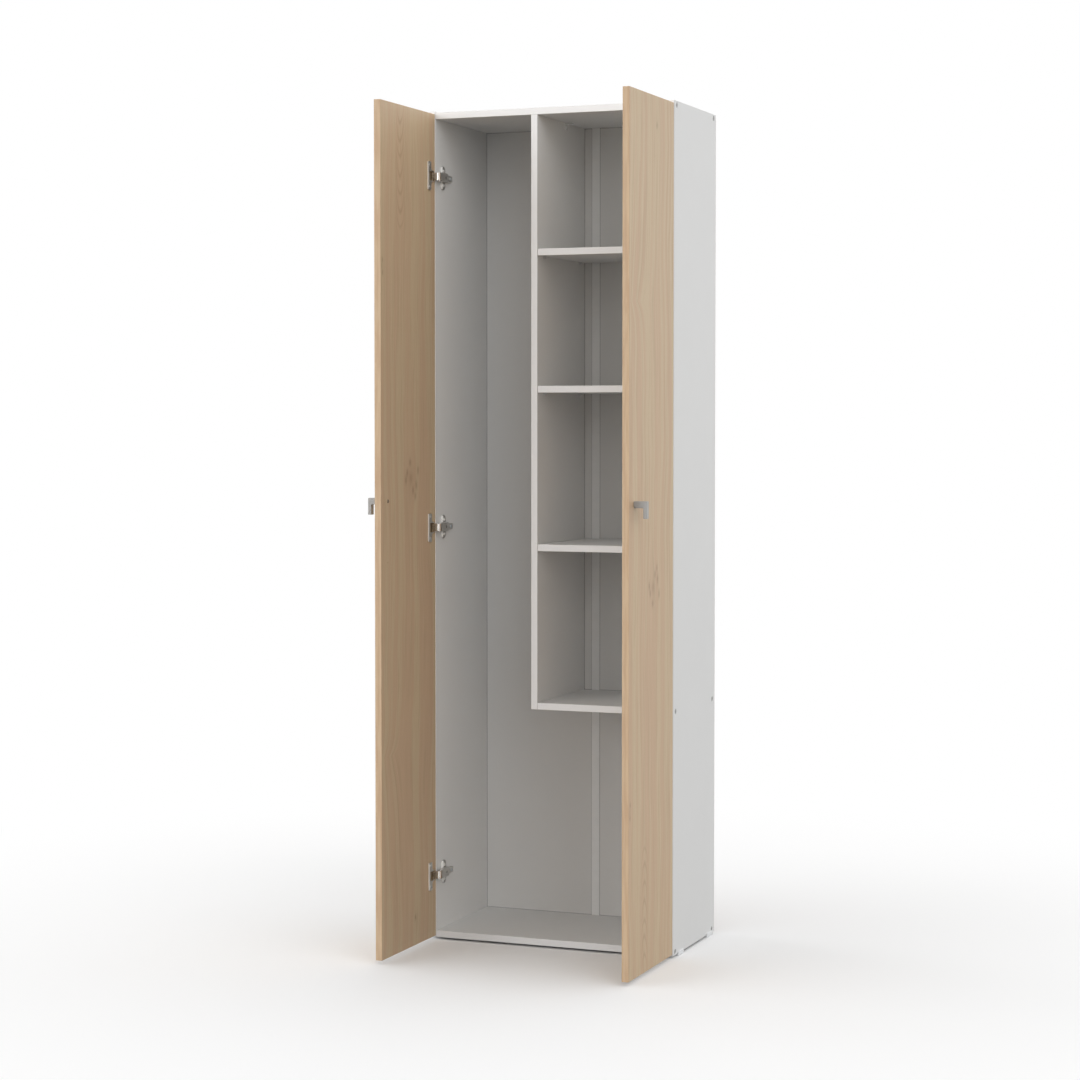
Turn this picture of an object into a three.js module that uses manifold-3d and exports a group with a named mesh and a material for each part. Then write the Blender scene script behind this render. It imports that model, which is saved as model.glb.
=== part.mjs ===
// A tall broom cupboard with two doors, an upright divider, a fixed shelf and three loose shelves.
// Millimetres, +Z up. The doors stand open at 90 degrees, and the group's origin lies on the floor
// under the middle of the whole object as it stands so.
import * as THREE from "three";
import { mergeVertices } from "three/addons/utils/BufferGeometryUtils.js";
import Module from "manifold-3d";

const wasm = await Module();
wasm.setup();

// Carcass
const width = 574;
const height = 1850;
const depth = 294;
const board = 15;
const boardEdge = 0.5;
const floorGap = 5;
const topSink = 2;
const leftBay = 229;
const lowerSpace = 508;
const cellShares = [0.2687, 0.2675, 0.2289];
const shelfPlay = 0.5;
const shelfSetback = 4;

// Back panels and the strip that joins them
const backThick = 3;
const backReveal = 1;
const stripWidth = 19;
const stripLip = 1;
const stripWeb = 2;
const stripClear = 0.3;

// Shelf pins
const pinRadius = 2.5;
const pinSeat = 8;
const pinReach = 7;
const pinInset = 37;
const pinFit = 0.2;
const pinEase = 0.6;

// Doors
const doorGap = 3;
const doorReveal = 2;
const doorStandoff = 2.5;
const doorTopGap = 6;
const doorFootGap = 4;
const doorOpenGap = 3;

// Handles
const handleHeight = 981;
const handleInset = 34;
const handleWidth = 13;
const handleReach = 29;
const handlePost = 14;
const handleLeg = 36;
const handleLegThick = 8;
const handleFillet = 4;
const handleEdge = 0.8;
const handleRootEase = 3.2;
const handleScrewRadius = 2;
const handleScrewHead = 4.2;
const handleScrewRise = 2.2;
const handleScrewBite = 9;
const screwFit = 0.4;
const pilotRadius = 1.8;
const pilotDepth = 9;

// Hinges: where the pivots lie, from the inner face and the front edge of the side
const hingeInset = 138.5;
const hingeShelfGap = 8;
const armPinIn = 12;
const armPinFront = 5.5;
const linkTurnShare = -0.35;

// Hinge cup
const cupInset = 26;
const cupBore = 13;
const cupBoreDepth = 11.5;
const cupFit = 0.3;
const cupWall = 1;
const cupMouth = 20.8;
const cupMouthFar = 34;
const troughNear = 4.5;
const troughDepth = 8;
const flangeThick = 2.5;
const flangeEar = 16;
const flangeLength = 63;
const flangeScrewOffset = 6;
const flangeScrewPitch = 48;
const flangeLip = 2;
const flangeNear = 14;
const flangeShoulder = 4;
const flangeFlare = 5;
const cupPinRadius = 0.9;
const screwHole = 2.2;

// Hinge link
const linkWide = 16.6;
const linkNarrow = 8;
const linkThick = 2;
const linkBulge = 2;
const linkShoulder = 9.5;
const linkTaper = 2.5;
const linkEye = 2.4;
const linkCupEye = 1.7;
const pivotFit = 0.12;

// Hinge arm
const armWidth = 20;
const armWall = 1.3;
const armTop = 13.2;
const armSkirt = 4.2;
const armNose = 2.6;
const armPinRadius = 1.2;
const armThroat = 3;
const armNeck = 8;
const armShoulder = 40;
const armTaper = 5;
const armTip = 72;
const armTipWidth = 13;
const armTipTop = 10.6;
const armHole = 2.5;
const armHoleBack = 60;

// Hinge mounting plate
const plateBack = 36;
const plateWing = 18;
const plateSpan = 52;
const plateThick = 4.2;
const plateScrewPitch = 32;
const saddleFront = 16;
const saddleBack = 66;
const saddleWidth = 9.4;
const saddleFit = 0.3;

// Floor glides
const glideLength = 36;
const glideFront = 50.5;
const glideRear = 256.5;
const glideRise = 10;
const glideThick = 2.5;

// Bracket between the divider and the top panel
const bracketBack = 174;
const bracketLeg = 16;
const bracketWidth = 14;
const bracketThick = 1.5;

// How far a cutter runs past the face that it cuts
const overrun = 3;

// Sides of a circle
const roundSides = 20;
const smallSides = 12;

// Places that follow from the sizes
const sideFace = width / 2 - board;
const baseTop = floorGap + board;
const ceiling = height - topSink - board;
const dividerLeft = leftBay - sideFace;
const dividerRight = dividerLeft + board;
const fixedShelfFoot = baseTop + lowerSpace;
const fixedShelfTop = fixedShelfFoot + board;
const shelfCount = cellShares.length;
const columnClear = ceiling - fixedShelfTop - shelfCount * board;
const backFace = depth + backThick;
const overlay = board - doorReveal;
const doorWidth = width / 2 - doorReveal - doorGap / 2;
const doorFoot = floorGap + doorFootGap;
const doorTop = height - doorTopGap;
const frontMost = doorOpenGap + doorWidth;
const rearMost = backFace + stripLip;

const material = (color, roughness, metalness) =>
  new THREE.MeshStandardMaterial({ color, roughness, metalness });
const whiteBoard = () => material(0xdcdbd9, 0.55, 0);
const whiteBack = () => material(0xd2d1cf, 0.6, 0);
const oakBoard = () => material(0xc0a88a, 0.5, 0);
const nickel = () => material(0xb9b9b6, 0.28, 1);
const greyMetal = () => material(0x9c9b98, 0.45, 0.8);
const darkSteel = () => material(0x6f6e6c, 0.4, 1);
const clearPlastic = () => material(0xc9cbcc, 0.35, 0);

// Solids: three.js makes each shape, and manifold-3d joins and cuts them

/** A closed geometry as a manifold solid. */
function solidOf(geometry) {
  geometry.deleteAttribute("normal");
  geometry.deleteAttribute("uv");
  const merged = mergeVertices(geometry);
  const mesh = new wasm.Mesh({
    numProp: 3,
    vertProperties: merged.attributes.position.array,
    triVerts: new Uint32Array(merged.index.array),
  });
  return new wasm.Manifold(mesh);
}

/** A manifold solid as a flat-shaded geometry. */
function geometryOf(solid) {
  const mesh = solid.getMesh();
  const indexed = new THREE.BufferGeometry();
  indexed.setAttribute("position", new THREE.BufferAttribute(mesh.vertProperties, 3));
  indexed.setIndex(new THREE.BufferAttribute(mesh.triVerts, 1));
  const flat = indexed.toNonIndexed();
  flat.computeVertexNormals();
  return flat;
}

/** A plain block between two corners. */
function block(low, high) {
  const size = high.map((value, i) => value - low[i]);
  const middle = high.map((value, i) => (value + low[i]) / 2);
  return solidOf(new THREE.BoxGeometry(...size).translate(...middle));
}

/** A rod from one point to another along the named axis. */
function rod(radius, from, to, axis, sides) {
  const geometry = new THREE.CylinderGeometry(radius, radius, 1, sides);
  const length = to[axis] - from[axis];
  geometry.scale(1, length, 1);
  if (axis === 0) geometry.rotateZ(Math.PI / 2);
  if (axis === 2) geometry.rotateX(Math.PI / 2);
  const middle = from.map((value, i) => (value + to[i]) / 2);
  return solidOf(geometry.translate(...middle));
}

/** An outline in two axes, run out along Z from low to high. */
function run(outline, low, high) {
  const options = { depth: high - low, bevelEnabled: false, curveSegments: smallSides / 2 };
  return new THREE.ExtrudeGeometry(outline, options).translate(0, 0, low);
}

/** Turns a geometry so that its X and Y become Y and Z, and its Z becomes X. */
function alongX(geometry) {
  return geometry.rotateX(Math.PI / 2).rotateZ(Math.PI / 2);
}

/** Turns a geometry so that its X stays, its Y becomes Z, and its Z becomes -Y. */
function alongY(geometry) {
  return geometry.rotateX(Math.PI / 2);
}

/** A rectangle outline with corners rounded by a radius. */
function roundedRectangle(left, right, low, high, radius) {
  const shape = new THREE.Shape();
  shape.moveTo(left + radius, low);
  shape.lineTo(right - radius, low);
  shape.absarc(right - radius, low + radius, radius, -Math.PI / 2, 0);
  shape.lineTo(right, high - radius);
  shape.absarc(right - radius, high - radius, radius, 0, Math.PI / 2);
  shape.lineTo(left + radius, high);
  shape.absarc(left + radius, high - radius, radius, Math.PI / 2, Math.PI);
  shape.lineTo(left, low + radius);
  shape.absarc(left + radius, low + radius, radius, Math.PI, (3 * Math.PI) / 2);
  return shape;
}

/** A board between two corners, with its edges and corners eased. */
function easedBlock(low, high, edge) {
  const size = high.map((value, i) => value - low[i]);
  const middle = high.map((value, i) => (value + low[i]) / 2);
  const halfX = size[0] / 2 - edge;
  const halfY = size[1] / 2 - edge;
  const cut = edge * (2 - Math.SQRT2);
  const outline = new THREE.Shape([
    new THREE.Vector2(halfX - cut, -halfY),
    new THREE.Vector2(halfX, cut - halfY),
    new THREE.Vector2(halfX, halfY - cut),
    new THREE.Vector2(halfX - cut, halfY),
    new THREE.Vector2(cut - halfX, halfY),
    new THREE.Vector2(-halfX, halfY - cut),
    new THREE.Vector2(-halfX, cut - halfY),
    new THREE.Vector2(cut - halfX, -halfY),
  ]);
  const options = {
    depth: size[2] - 2 * edge,
    bevelThickness: edge,
    bevelSize: edge,
    bevelSegments: 1,
  };
  const geometry = new THREE.ExtrudeGeometry(outline, options);
  geometry.translate(middle[0], middle[1], low[2] + edge);
  return solidOf(geometry);
}

/** Names a solid, gives it its material and hangs it in a group. */
function add(group, name, solid, finish) {
  const mesh = new THREE.Mesh(geometryOf(solid), finish);
  mesh.name = name;
  group.add(mesh);
  return mesh;
}

// Carcass

/** The notch at the rear of the boards that lets the joining strip pass. */
function stripNotch() {
  const half = stripWidth / 2 + stripClear;
  const front = depth - stripLip - stripClear;
  return block([-half, front, 0], [half, depth + overrun, height + overrun]);
}

/** A level board that the joining strip passes. */
function levelBoard(left, right, foot) {
  const whole = easedBlock([left, 0, foot], [right, depth, foot + board], boardEdge);
  return whole.subtract(stripNotch());
}

/** The undersides of the three loose shelves, from the lowest up. */
function shelfFeet() {
  let top = fixedShelfTop;
  return cellShares.map((share) => {
    const foot = top + share * columnClear;
    top = foot + board;
    return foot;
  });
}

/** The heights and depths at which the pins stand in each wall of the right column. */
function pinPlaces() {
  const rows = [pinInset, depth - pinInset];
  return shelfFeet().flatMap((foot, shelf) =>
    rows.map((back, row) => ({ shelf, row, back, up: foot - pinRadius })),
  );
}

/** An upright board with the blind pin holes in one face, which looks along the sign given. */
function drilledBoard(left, foot, top, face, sign) {
  let solid = easedBlock([left, 0, foot], [left + board, depth, top], boardEdge);
  const mouth = face + sign * overrun;
  const floor = face - sign * (pinSeat + pinFit);
  for (const place of pinPlaces()) {
    const from = [Math.min(mouth, floor), place.back, place.up];
    const to = [Math.max(mouth, floor), place.back, place.up];
    solid = solid.subtract(rod(pinRadius + pinFit, from, to, 0, smallSides));
  }
  return solid;
}

/** A shelf pin: a straight steel pin with eased ends, half in the wall and half under the shelf. */
function pinShape() {
  const outline = [
    new THREE.Vector2(0, -pinSeat),
    new THREE.Vector2(pinRadius - pinEase, -pinSeat),
    new THREE.Vector2(pinRadius, pinEase - pinSeat),
    new THREE.Vector2(pinRadius, pinReach - pinEase),
    new THREE.Vector2(pinRadius - pinEase, pinReach),
    new THREE.Vector2(0, pinReach),
  ];
  return solidOf(new THREE.LatheGeometry(outline, smallSides));
}

/** Sets the pins of one wall, whose face looks along the sign given. */
function addPins(group, wall, face, sign) {
  for (const place of pinPlaces()) {
    const shelf = shelfCount - place.shelf;
    const row = place.row === 0 ? "front" : "rear";
    const pin = add(group, `shelf_pin_${shelf}_${wall}_${row}`, pinShape(), nickel());
    pin.rotation.z = (-sign * Math.PI) / 2;
    pin.position.set(face, place.back, place.up);
  }
}

/** The two backs and the strip between them. */
function addBack(group) {
  const foot = floorGap + backReveal;
  const top = height - backReveal;
  const outer = width / 2 - backReveal;
  const inner = stripWeb / 2 + stripClear;
  const left = block([-outer, depth, foot], [-inner, backFace, top]);
  const right = block([inner, depth, foot], [outer, backFace, top]);
  add(group, "back_panel_left", left, whiteBack());
  add(group, "back_panel_right", right, whiteBack());
  const half = stripWidth / 2;
  const frontLip = block([-half, depth - stripLip, foot], [half, depth, top]);
  const rearLip = block([-half, backFace, foot], [half, rearMost, top]);
  const web = block([-stripWeb / 2, depth - stripLip / 2, foot], [stripWeb / 2, backFace + stripLip / 2, top]);
  add(group, "back_joining_strip", frontLip.add(web).add(rearLip), whiteBack());
}

/** The loose shelves on their pins. */
function addShelves(group) {
  shelfFeet().forEach((foot, i) => {
    const low = [dividerRight + shelfPlay, 0, foot];
    const high = [sideFace - shelfPlay, depth - shelfSetback, foot + board];
    add(group, `shelf_${shelfCount - i}`, easedBlock(low, high, boardEdge), whiteBoard());
  });
}

/** The bracket in the corner of the divider and the top panel. */
function addBracket(group) {
  const front = bracketBack - bracketWidth / 2;
  const back = bracketBack + bracketWidth / 2;
  const side = dividerRight + bracketThick;
  const upright = block([dividerRight, front, ceiling - bracketLeg], [side, back, ceiling]);
  const under = ceiling - bracketThick;
  const level = block([dividerRight, front, under], [dividerRight + bracketLeg, back, ceiling]);
  add(group, "corner_bracket", upright.add(level), nickel());
}

/** A floor glide under the left side: its foot, and the lip that stands up the outer face. */
function glideShape(middle) {
  const outer = -width / 2;
  const front = middle - glideLength / 2;
  const back = middle + glideLength / 2;
  const foot = easedBlock([outer - glideThick, front, 0], [-sideFace, back, floorGap], boardEdge);
  const lip = easedBlock([outer - glideThick, front, 0], [outer, back, glideRise], boardEdge);
  return foot.add(lip);
}

/** The boards, backs, shelves and pins. */
function makeCarcass() {
  const group = new THREE.Group();
  const left = easedBlock([-width / 2, 0, floorGap], [-sideFace, depth, height], boardEdge);
  add(group, "side_left", left, whiteBoard());
  add(group, "side_right", drilledBoard(sideFace, floorGap, height, sideFace, -1), whiteBoard());
  add(group, "top_panel", levelBoard(-sideFace, sideFace, ceiling), whiteBoard());
  add(group, "base_panel", levelBoard(-sideFace, sideFace, floorGap), whiteBoard());
  const divider = drilledBoard(dividerLeft, fixedShelfFoot, ceiling, dividerRight, 1);
  add(group, "divider", divider.subtract(stripNotch()), whiteBoard());
  add(group, "fixed_shelf", levelBoard(dividerRight, sideFace, fixedShelfFoot), whiteBoard());
  addShelves(group);
  addPins(group, "left", dividerRight, 1);
  addPins(group, "right", sideFace, -1);
  addBack(group);
  addBracket(group);
  return group;
}

// Hinges, in the frame of a hinge of the left door: X in from the side's inner face, Y back from its
// front edge, Z up from the hinge's middle

/** Complex quotient of two plane vectors. */
function quotient(a, b) {
  const scale = b.lengthSq();
  return new THREE.Vector2(a.x * b.x + a.y * b.y, a.y * b.x - a.x * b.y).divideScalar(scale);
}

/** The inner corner of the door's hinge edge, closed and standing open at 90 degrees. */
const closedCorner = new THREE.Vector2(-overlay, -doorStandoff);
const openCorner = new THREE.Vector2(0, -doorOpenGap);
const armPivot = new THREE.Vector2(armPinIn, -armPinFront);

/** The pivot in the cup, from the door's hinge edge and inner face, that joins the two corners. */
function cupPivotInDoor() {
  const origin = new THREE.Vector2();
  const turn = (-linkTurnShare * Math.PI) / 2;
  const turned = armPivot.clone().rotateAround(origin, turn);
  const quarter = closedCorner.clone().rotateAround(origin, Math.PI / 2);
  const sum = openCorner.clone().sub(armPivot).add(turned).add(quarter);
  const factor = new THREE.Vector2(Math.cos(turn), Math.sin(turn) + 1);
  return quotient(sum, factor).sub(closedCorner);
}

const cupPivot = cupPivotInDoor();
const cupPivotOpen = new THREE.Vector2(openCorner.x + cupPivot.y, openCorner.y - cupPivot.x);

/** A round pocket and the trough that joins it to the hinge edge, grown by a margin. */
function cupPocket(margin, top) {
  const depth = margin - cupBoreDepth;
  const bowl = rod(cupBore - margin, [cupInset, depth, 0], [cupInset, top, 0], 1, roundSides);
  const half = cupMouth / 2 + cupWall + cupFit - margin;
  const low = [troughNear + margin, margin - troughDepth, -half];
  return bowl.add(block(low, [cupInset, top, half]));
}

/** The cup: a bowl and trough in the door's pocket, a flange on its face, and the pin across. */
function cupShape() {
  const middle = flangeThick / 2;
  const hollow = cupPocket(cupFit + cupWall, middle);
  const reach = cupMouth / 2 + cupWall / 2;
  const from = [cupPivot.x, cupPivot.y, -reach];
  const to = [cupPivot.x, cupPivot.y, reach];
  const pin = rod(cupPinRadius, from, to, 2, smallSides);
  const mouthLow = [troughNear + cupFit + cupWall, -overrun, -cupMouth / 2];
  const mouth = block(mouthLow, [cupMouthFar, flangeThick + overrun, cupMouth / 2]);
  const flushLow = [-overrun, 0, -cupMouth];
  const flush = block(flushLow, [flangeNear, flangeThick, cupMouth]);
  const shell = cupPocket(cupFit, middle).subtract(hollow).subtract(flush);
  return shell.add(flangeShape()).subtract(mouth).add(pin);
}

/** The flange of the cup: two screw ears, and shoulders that narrow towards the hinge edge. */
function flangeShape() {
  const earMiddle = cupInset + flangeScrewOffset;
  const half = flangeLength / 2;
  const near = earMiddle - flangeEar / 2;
  const far = earMiddle + flangeEar / 2;
  const ears = solidOf(alongY(run(roundedRectangle(near, far, -half, half, flangeEar / 4), -flangeThick, 0)));
  const narrow = cupMouth / 2 + flangeLip;
  const wide = narrow + flangeFlare;
  const plan = new THREE.Shape([
    new THREE.Vector2(flangeNear, -narrow),
    new THREE.Vector2(near - flangeShoulder, -narrow),
    new THREE.Vector2(near, -wide),
    new THREE.Vector2(earMiddle, -wide),
    new THREE.Vector2(earMiddle, wide),
    new THREE.Vector2(near, wide),
    new THREE.Vector2(near - flangeShoulder, narrow),
    new THREE.Vector2(flangeNear, narrow),
  ]);
  let flange = solidOf(alongY(run(plan, -flangeThick, 0))).add(ears);
  for (const side of [-1, 1]) {
    const up = (side * flangeScrewPitch) / 2;
    const from = [earMiddle, -overrun, up];
    const to = [earMiddle, flangeThick + overrun, up];
    flange = flange.subtract(rod(screwHole, from, to, 1, smallSides));
  }
  return flange;
}

/** The link between the arm's pin, at the origin, and the cup's pin, along +X. */
function linkShape() {
  const length = armPivot.distanceTo(cupPivotOpen);
  const half = linkWide / 2;
  const narrow = linkNarrow / 2;
  const strap = new THREE.Shape();
  strap.moveTo(0, -linkThick / 2);
  strap.quadraticCurveTo(length / 2, 2 * linkBulge - linkThick / 2, length, -linkThick / 2);
  strap.lineTo(length, linkThick / 2);
  strap.quadraticCurveTo(length / 2, 2 * linkBulge + linkThick / 2, 0, linkThick / 2);
  const end = length + linkCupEye + overrun;
  const plan = new THREE.Shape([
    new THREE.Vector2(-linkEye - overrun, -half),
    new THREE.Vector2(linkShoulder, -half),
    new THREE.Vector2(linkShoulder + linkTaper, -narrow),
    new THREE.Vector2(end, -narrow),
    new THREE.Vector2(end, narrow),
    new THREE.Vector2(linkShoulder + linkTaper, narrow),
    new THREE.Vector2(linkShoulder, half),
    new THREE.Vector2(-linkEye - overrun, half),
  ]);
  const tall = linkEye + 2 * linkBulge + overrun;
  const cutter = solidOf(alongY(run(plan, -tall, tall)));
  const armEye = rod(linkEye, [0, 0, -half], [0, 0, half], 2, smallSides);
  const cupEye = rod(linkCupEye, [length, 0, -half], [length, 0, half], 2, smallSides);
  const body = solidOf(run(strap, -half, half)).add(armEye).add(cupEye).intersect(cutter);
  const long = half + overrun;
  const armHoleRod = rod(armPinRadius + pivotFit, [0, 0, -long], [0, 0, long], 2, smallSides);
  const cupHoleRod = rod(cupPinRadius + pivotFit, [length, 0, -long], [length, 0, long], 2, smallSides);
  return body.subtract(armHoleRod).subtract(cupHoleRod);
}

/** The side view of the arm: round nose, skirt, top and tip. */
function armOutline() {
  const shape = new THREE.Shape();
  shape.absarc(armPivot.x, armPivot.y, armNose, Math.PI, 2 * Math.PI);
  shape.lineTo(armPivot.x + armNose, armPivot.y);
  shape.lineTo(armTop, armThroat);
  shape.lineTo(armTop, armShoulder);
  shape.lineTo(armTipTop, armShoulder + armTaper);
  shape.lineTo(armTipTop, armTip);
  shape.lineTo(armSkirt, armTip);
  shape.lineTo(armSkirt, armNeck);
  return shape;
}

/** The arm: a channel over the plate's saddle, whose cheeks carry the link's pin. */
function armShape() {
  const half = armWidth / 2;
  const tipHalf = armTipWidth / 2;
  const under = armTipTop - armWall;
  let arm = solidOf(run(armOutline(), -half, half));
  const front = armPivot.y - armNose - overrun;
  const cheek = half - armWall;
  const tipCheek = tipHalf - armWall;
  arm = arm.subtract(block([0, front, -cheek], [armTop - armWall, armShoulder - armWall, cheek]));
  arm = arm.subtract(block([0, front, -cheek], [armTop + armNose + overrun, armThroat, cheek]));
  arm = arm.subtract(block([0, front, -tipCheek], [under, armTip - armWall, tipCheek]));
  for (const side of [-1, 1]) {
    const edges = [side * tipHalf, side * (half + overrun)].sort((a, b) => a - b);
    const low = [0, armShoulder, edges[0]];
    arm = arm.subtract(block(low, [armTop + overrun, armTip + overrun, edges[1]]));
  }
  const holeFrom = [0, armHoleBack, 0];
  arm = arm.subtract(rod(armHole, holeFrom, [armTop + overrun, armHoleBack, 0], 0, smallSides));
  const pinReachOut = half - armWall / 2;
  const from = [armPivot.x, armPivot.y, -pinReachOut];
  return arm.add(rod(armPinRadius, from, [armPivot.x, armPivot.y, pinReachOut], 2, smallSides));
}

/** The mounting plate: two round-ended wings that are screwed to the side, and the arm's saddle. */
function plateShape() {
  const wing = roundedRectangle(
    plateBack - plateWing / 2,
    plateBack + plateWing / 2,
    -plateSpan / 2,
    plateSpan / 2,
    plateWing / 2,
  );
  const half = saddleWidth / 2;
  const frontTop = armTop - armWall - saddleFit;
  const tipTop = armTipTop - armWall - saddleFit;
  const saddleEnd = armShoulder - armWall - saddleFit;
  let plate = solidOf(alongX(run(wing, 0, plateThick)));
  plate = plate.add(block([0, saddleFront, -half], [frontTop, saddleEnd, half]));
  plate = plate.add(block([0, saddleFront, -half], [tipTop, saddleBack, half]));
  for (const side of [-1, 1]) {
    const up = (side * plateScrewPitch) / 2;
    const from = [-overrun, plateBack, up];
    const to = [plateThick + overrun, plateBack, up];
    plate = plate.subtract(rod(screwHole, from, to, 0, smallSides));
  }
  return plate;
}

// Doors, in a frame with X from the hinge edge, Y out of the inner face and Z up from the floor

const hingeLevels = {
  top: doorTop - hingeInset,
  middle: shelfFeet()[0] + board + hingeShelfGap + plateSpan / 2,
  low: doorFoot + hingeInset,
};
const handleAcross = doorWidth - handleInset;
const handleScrewUp = handleHeight + handleLeg / 2 - handlePost / 2;

// The doors are drilled alike and hung either way up, so each has a second, unused pilot hole
const pilotUp = doorFoot + doorTop - handleScrewUp;

/** The door with its cup pockets, the handle's screw hole and the unused pilot hole. */
function doorShape() {
  let door = easedBlock([0, -board, doorFoot], [doorWidth, 0, doorTop], boardEdge);
  for (const level of Object.values(hingeLevels)) {
    door = door.subtract(cupPocket(0, overrun).translate(0, 0, level));
  }
  const from = [handleAcross, -board - overrun, handleScrewUp];
  const to = [handleAcross, overrun, handleScrewUp];
  const pilotFrom = [handleAcross, -pilotDepth, pilotUp];
  const pilotTo = [handleAcross, overrun, pilotUp];
  const pilot = rod(pilotRadius, pilotFrom, pilotTo, 1, smallSides);
  return door.subtract(rod(handleScrewRadius + screwFit, from, to, 1, smallSides)).subtract(pilot);
}

/** The handle: a post out of the door's outer face, and a leg that hangs from its end. */
function handleShape() {
  const top = handleHeight + handleLeg / 2;
  const foot = handleHeight - handleLeg / 2;
  const under = top - handlePost;
  const root = -board;
  const tip = -board - handleReach;
  const legFace = tip + handleLegThick;
  const edge = handleEdge;
  const outline = new THREE.Shape();
  outline.moveTo(root - handleRootEase, under + edge);
  outline.lineTo(root, under + handlePost / 2);
  outline.lineTo(root, top - edge);
  outline.lineTo(tip + edge, top - edge);
  outline.lineTo(tip + edge, foot + edge);
  outline.lineTo(legFace - edge, foot + edge);
  outline.lineTo(legFace - edge, under - handleFillet);
  const curve = legFace - edge + handleFillet;
  outline.absarc(curve, under - handleFillet, handleFillet + edge, Math.PI, Math.PI / 2, true);
  const options = {
    depth: handleWidth - 2 * edge,
    bevelThickness: edge,
    bevelSize: edge,
    bevelSegments: 1,
    curveSegments: smallSides / 2,
  };
  const raw = alongX(new THREE.ExtrudeGeometry(outline, options));
  const solid = solidOf(raw.translate(handleAcross - handleWidth / 2 + edge, 0, 0));
  const past = block(
    [handleAcross - handleWidth, root, foot - overrun],
    [handleAcross + handleWidth, root + overrun, top + overrun],
  );
  const boreFrom = [handleAcross, root - handleScrewBite - screwFit, handleScrewUp];
  const boreTo = [handleAcross, root + overrun, handleScrewUp];
  const bore = rod(handleScrewRadius + screwFit, boreFrom, boreTo, 1, smallSides);
  return solid.subtract(past).subtract(bore);
}

/** The screw that holds the handle, with its domed head on the door's inner face. */
function handleScrewShape() {
  const profile = [
    new THREE.Vector2(0, -board - handleScrewBite),
    new THREE.Vector2(handleScrewRadius, -board - handleScrewBite),
    new THREE.Vector2(handleScrewRadius, 0),
    new THREE.Vector2(handleScrewHead, 0),
    new THREE.Vector2(handleScrewHead, handleScrewRise / 2),
    new THREE.Vector2(handleScrewHead * Math.SQRT1_2, handleScrewRise * Math.sqrt(3) / 2),
    new THREE.Vector2(0, handleScrewRise),
  ];
  const screw = new THREE.LatheGeometry(profile, smallSides);
  return solidOf(screw.translate(handleAcross, 0, handleScrewUp));
}

/** The door and all that rides on it. */
function makeDoor(name) {
  const group = new THREE.Group();
  add(group, `door_${name}`, doorShape(), oakBoard());
  add(group, `handle_${name}`, handleShape(), greyMetal());
  add(group, `handle_screw_${name}`, handleScrewShape(), darkSteel());
  for (const [level, up] of Object.entries(hingeLevels)) {
    const cup = add(group, `hinge_cup_${name}_${level}`, cupShape(), nickel());
    cup.position.z = up;
  }
  group.rotation.z = -Math.PI / 2;
  group.position.set(openCorner.x, openCorner.y, 0);
  return group;
}

/** The links, arms and plates of one door, at the angle that the links have with the door open. */
function addHingeParts(group, name) {
  const span = cupPivotOpen.clone().sub(armPivot);
  for (const [level, up] of Object.entries(hingeLevels)) {
    const link = add(group, `hinge_link_${name}_${level}`, linkShape(), nickel());
    link.position.set(armPivot.x, armPivot.y, up);
    link.rotation.z = span.angle();
    const arm = add(group, `hinge_arm_${name}_${level}`, armShape(), nickel());
    arm.position.z = up;
    const plate = add(group, `hinge_plate_${name}_${level}`, plateShape(), nickel());
    plate.position.z = up;
  }
}

/** One side's door, hinges and glides, made for the left, and mirrored for the right. */
function makeWing(name, mirrored) {
  const group = new THREE.Group();
  const fittings = new THREE.Group();
  fittings.position.x = -sideFace;
  fittings.add(makeDoor(name));
  addHingeParts(fittings, name);
  group.add(fittings);
  add(group, `glide_${name}_front`, glideShape(glideFront), clearPlastic());
  add(group, `glide_${name}_rear`, glideShape(glideRear), clearPlastic());
  if (mirrored) group.scale.x = -1;
  return group;
}

const cupboard = new THREE.Group();
cupboard.name = "broom_cupboard";
cupboard.position.y = (frontMost - rearMost) / 2;
cupboard.add(makeCarcass(), makeWing("left", false), makeWing("right", true));

const part = new THREE.Group();
part.add(cupboard);
export default part;
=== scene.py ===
"""The looks of a tall broom cupboard: boards, doors, hinges, handles, fixings, light and camera.

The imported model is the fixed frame. Boards and small fittings are finer copies of its solids, and
hinges, handles and screws are built again with their real roundings. Lengths are metres in the row
frame. Sizes of fittings are millimetres in a hinge's own frame, which Station turns into metres.
"""

import logging
import math
from dataclasses import dataclass
from enum import Enum
from typing import Iterable, Sequence

import bmesh
import bpy
from mathutils import Matrix, Vector


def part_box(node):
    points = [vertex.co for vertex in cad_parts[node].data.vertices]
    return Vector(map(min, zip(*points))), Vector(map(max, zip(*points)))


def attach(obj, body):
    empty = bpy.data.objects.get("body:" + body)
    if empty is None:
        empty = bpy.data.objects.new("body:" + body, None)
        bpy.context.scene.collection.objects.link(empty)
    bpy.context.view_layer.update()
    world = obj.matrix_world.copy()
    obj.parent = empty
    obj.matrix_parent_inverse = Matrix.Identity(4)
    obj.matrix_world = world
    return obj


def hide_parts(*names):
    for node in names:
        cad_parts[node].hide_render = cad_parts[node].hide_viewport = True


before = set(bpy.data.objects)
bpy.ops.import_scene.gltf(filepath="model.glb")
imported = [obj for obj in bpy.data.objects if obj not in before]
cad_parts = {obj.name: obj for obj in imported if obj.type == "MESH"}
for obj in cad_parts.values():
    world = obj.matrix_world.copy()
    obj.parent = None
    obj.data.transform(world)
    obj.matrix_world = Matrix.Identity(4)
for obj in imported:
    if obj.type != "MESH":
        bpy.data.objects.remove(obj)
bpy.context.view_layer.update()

MM = 0.001
BOARD_EASE = 0.16 * MM
SHARP_ANGLE = 35.0
FACE_WEIGHT = 60
log = logging.getLogger("broom_cupboard")

Colour = tuple[float, float, float, float]
Point = Sequence[float]


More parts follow.
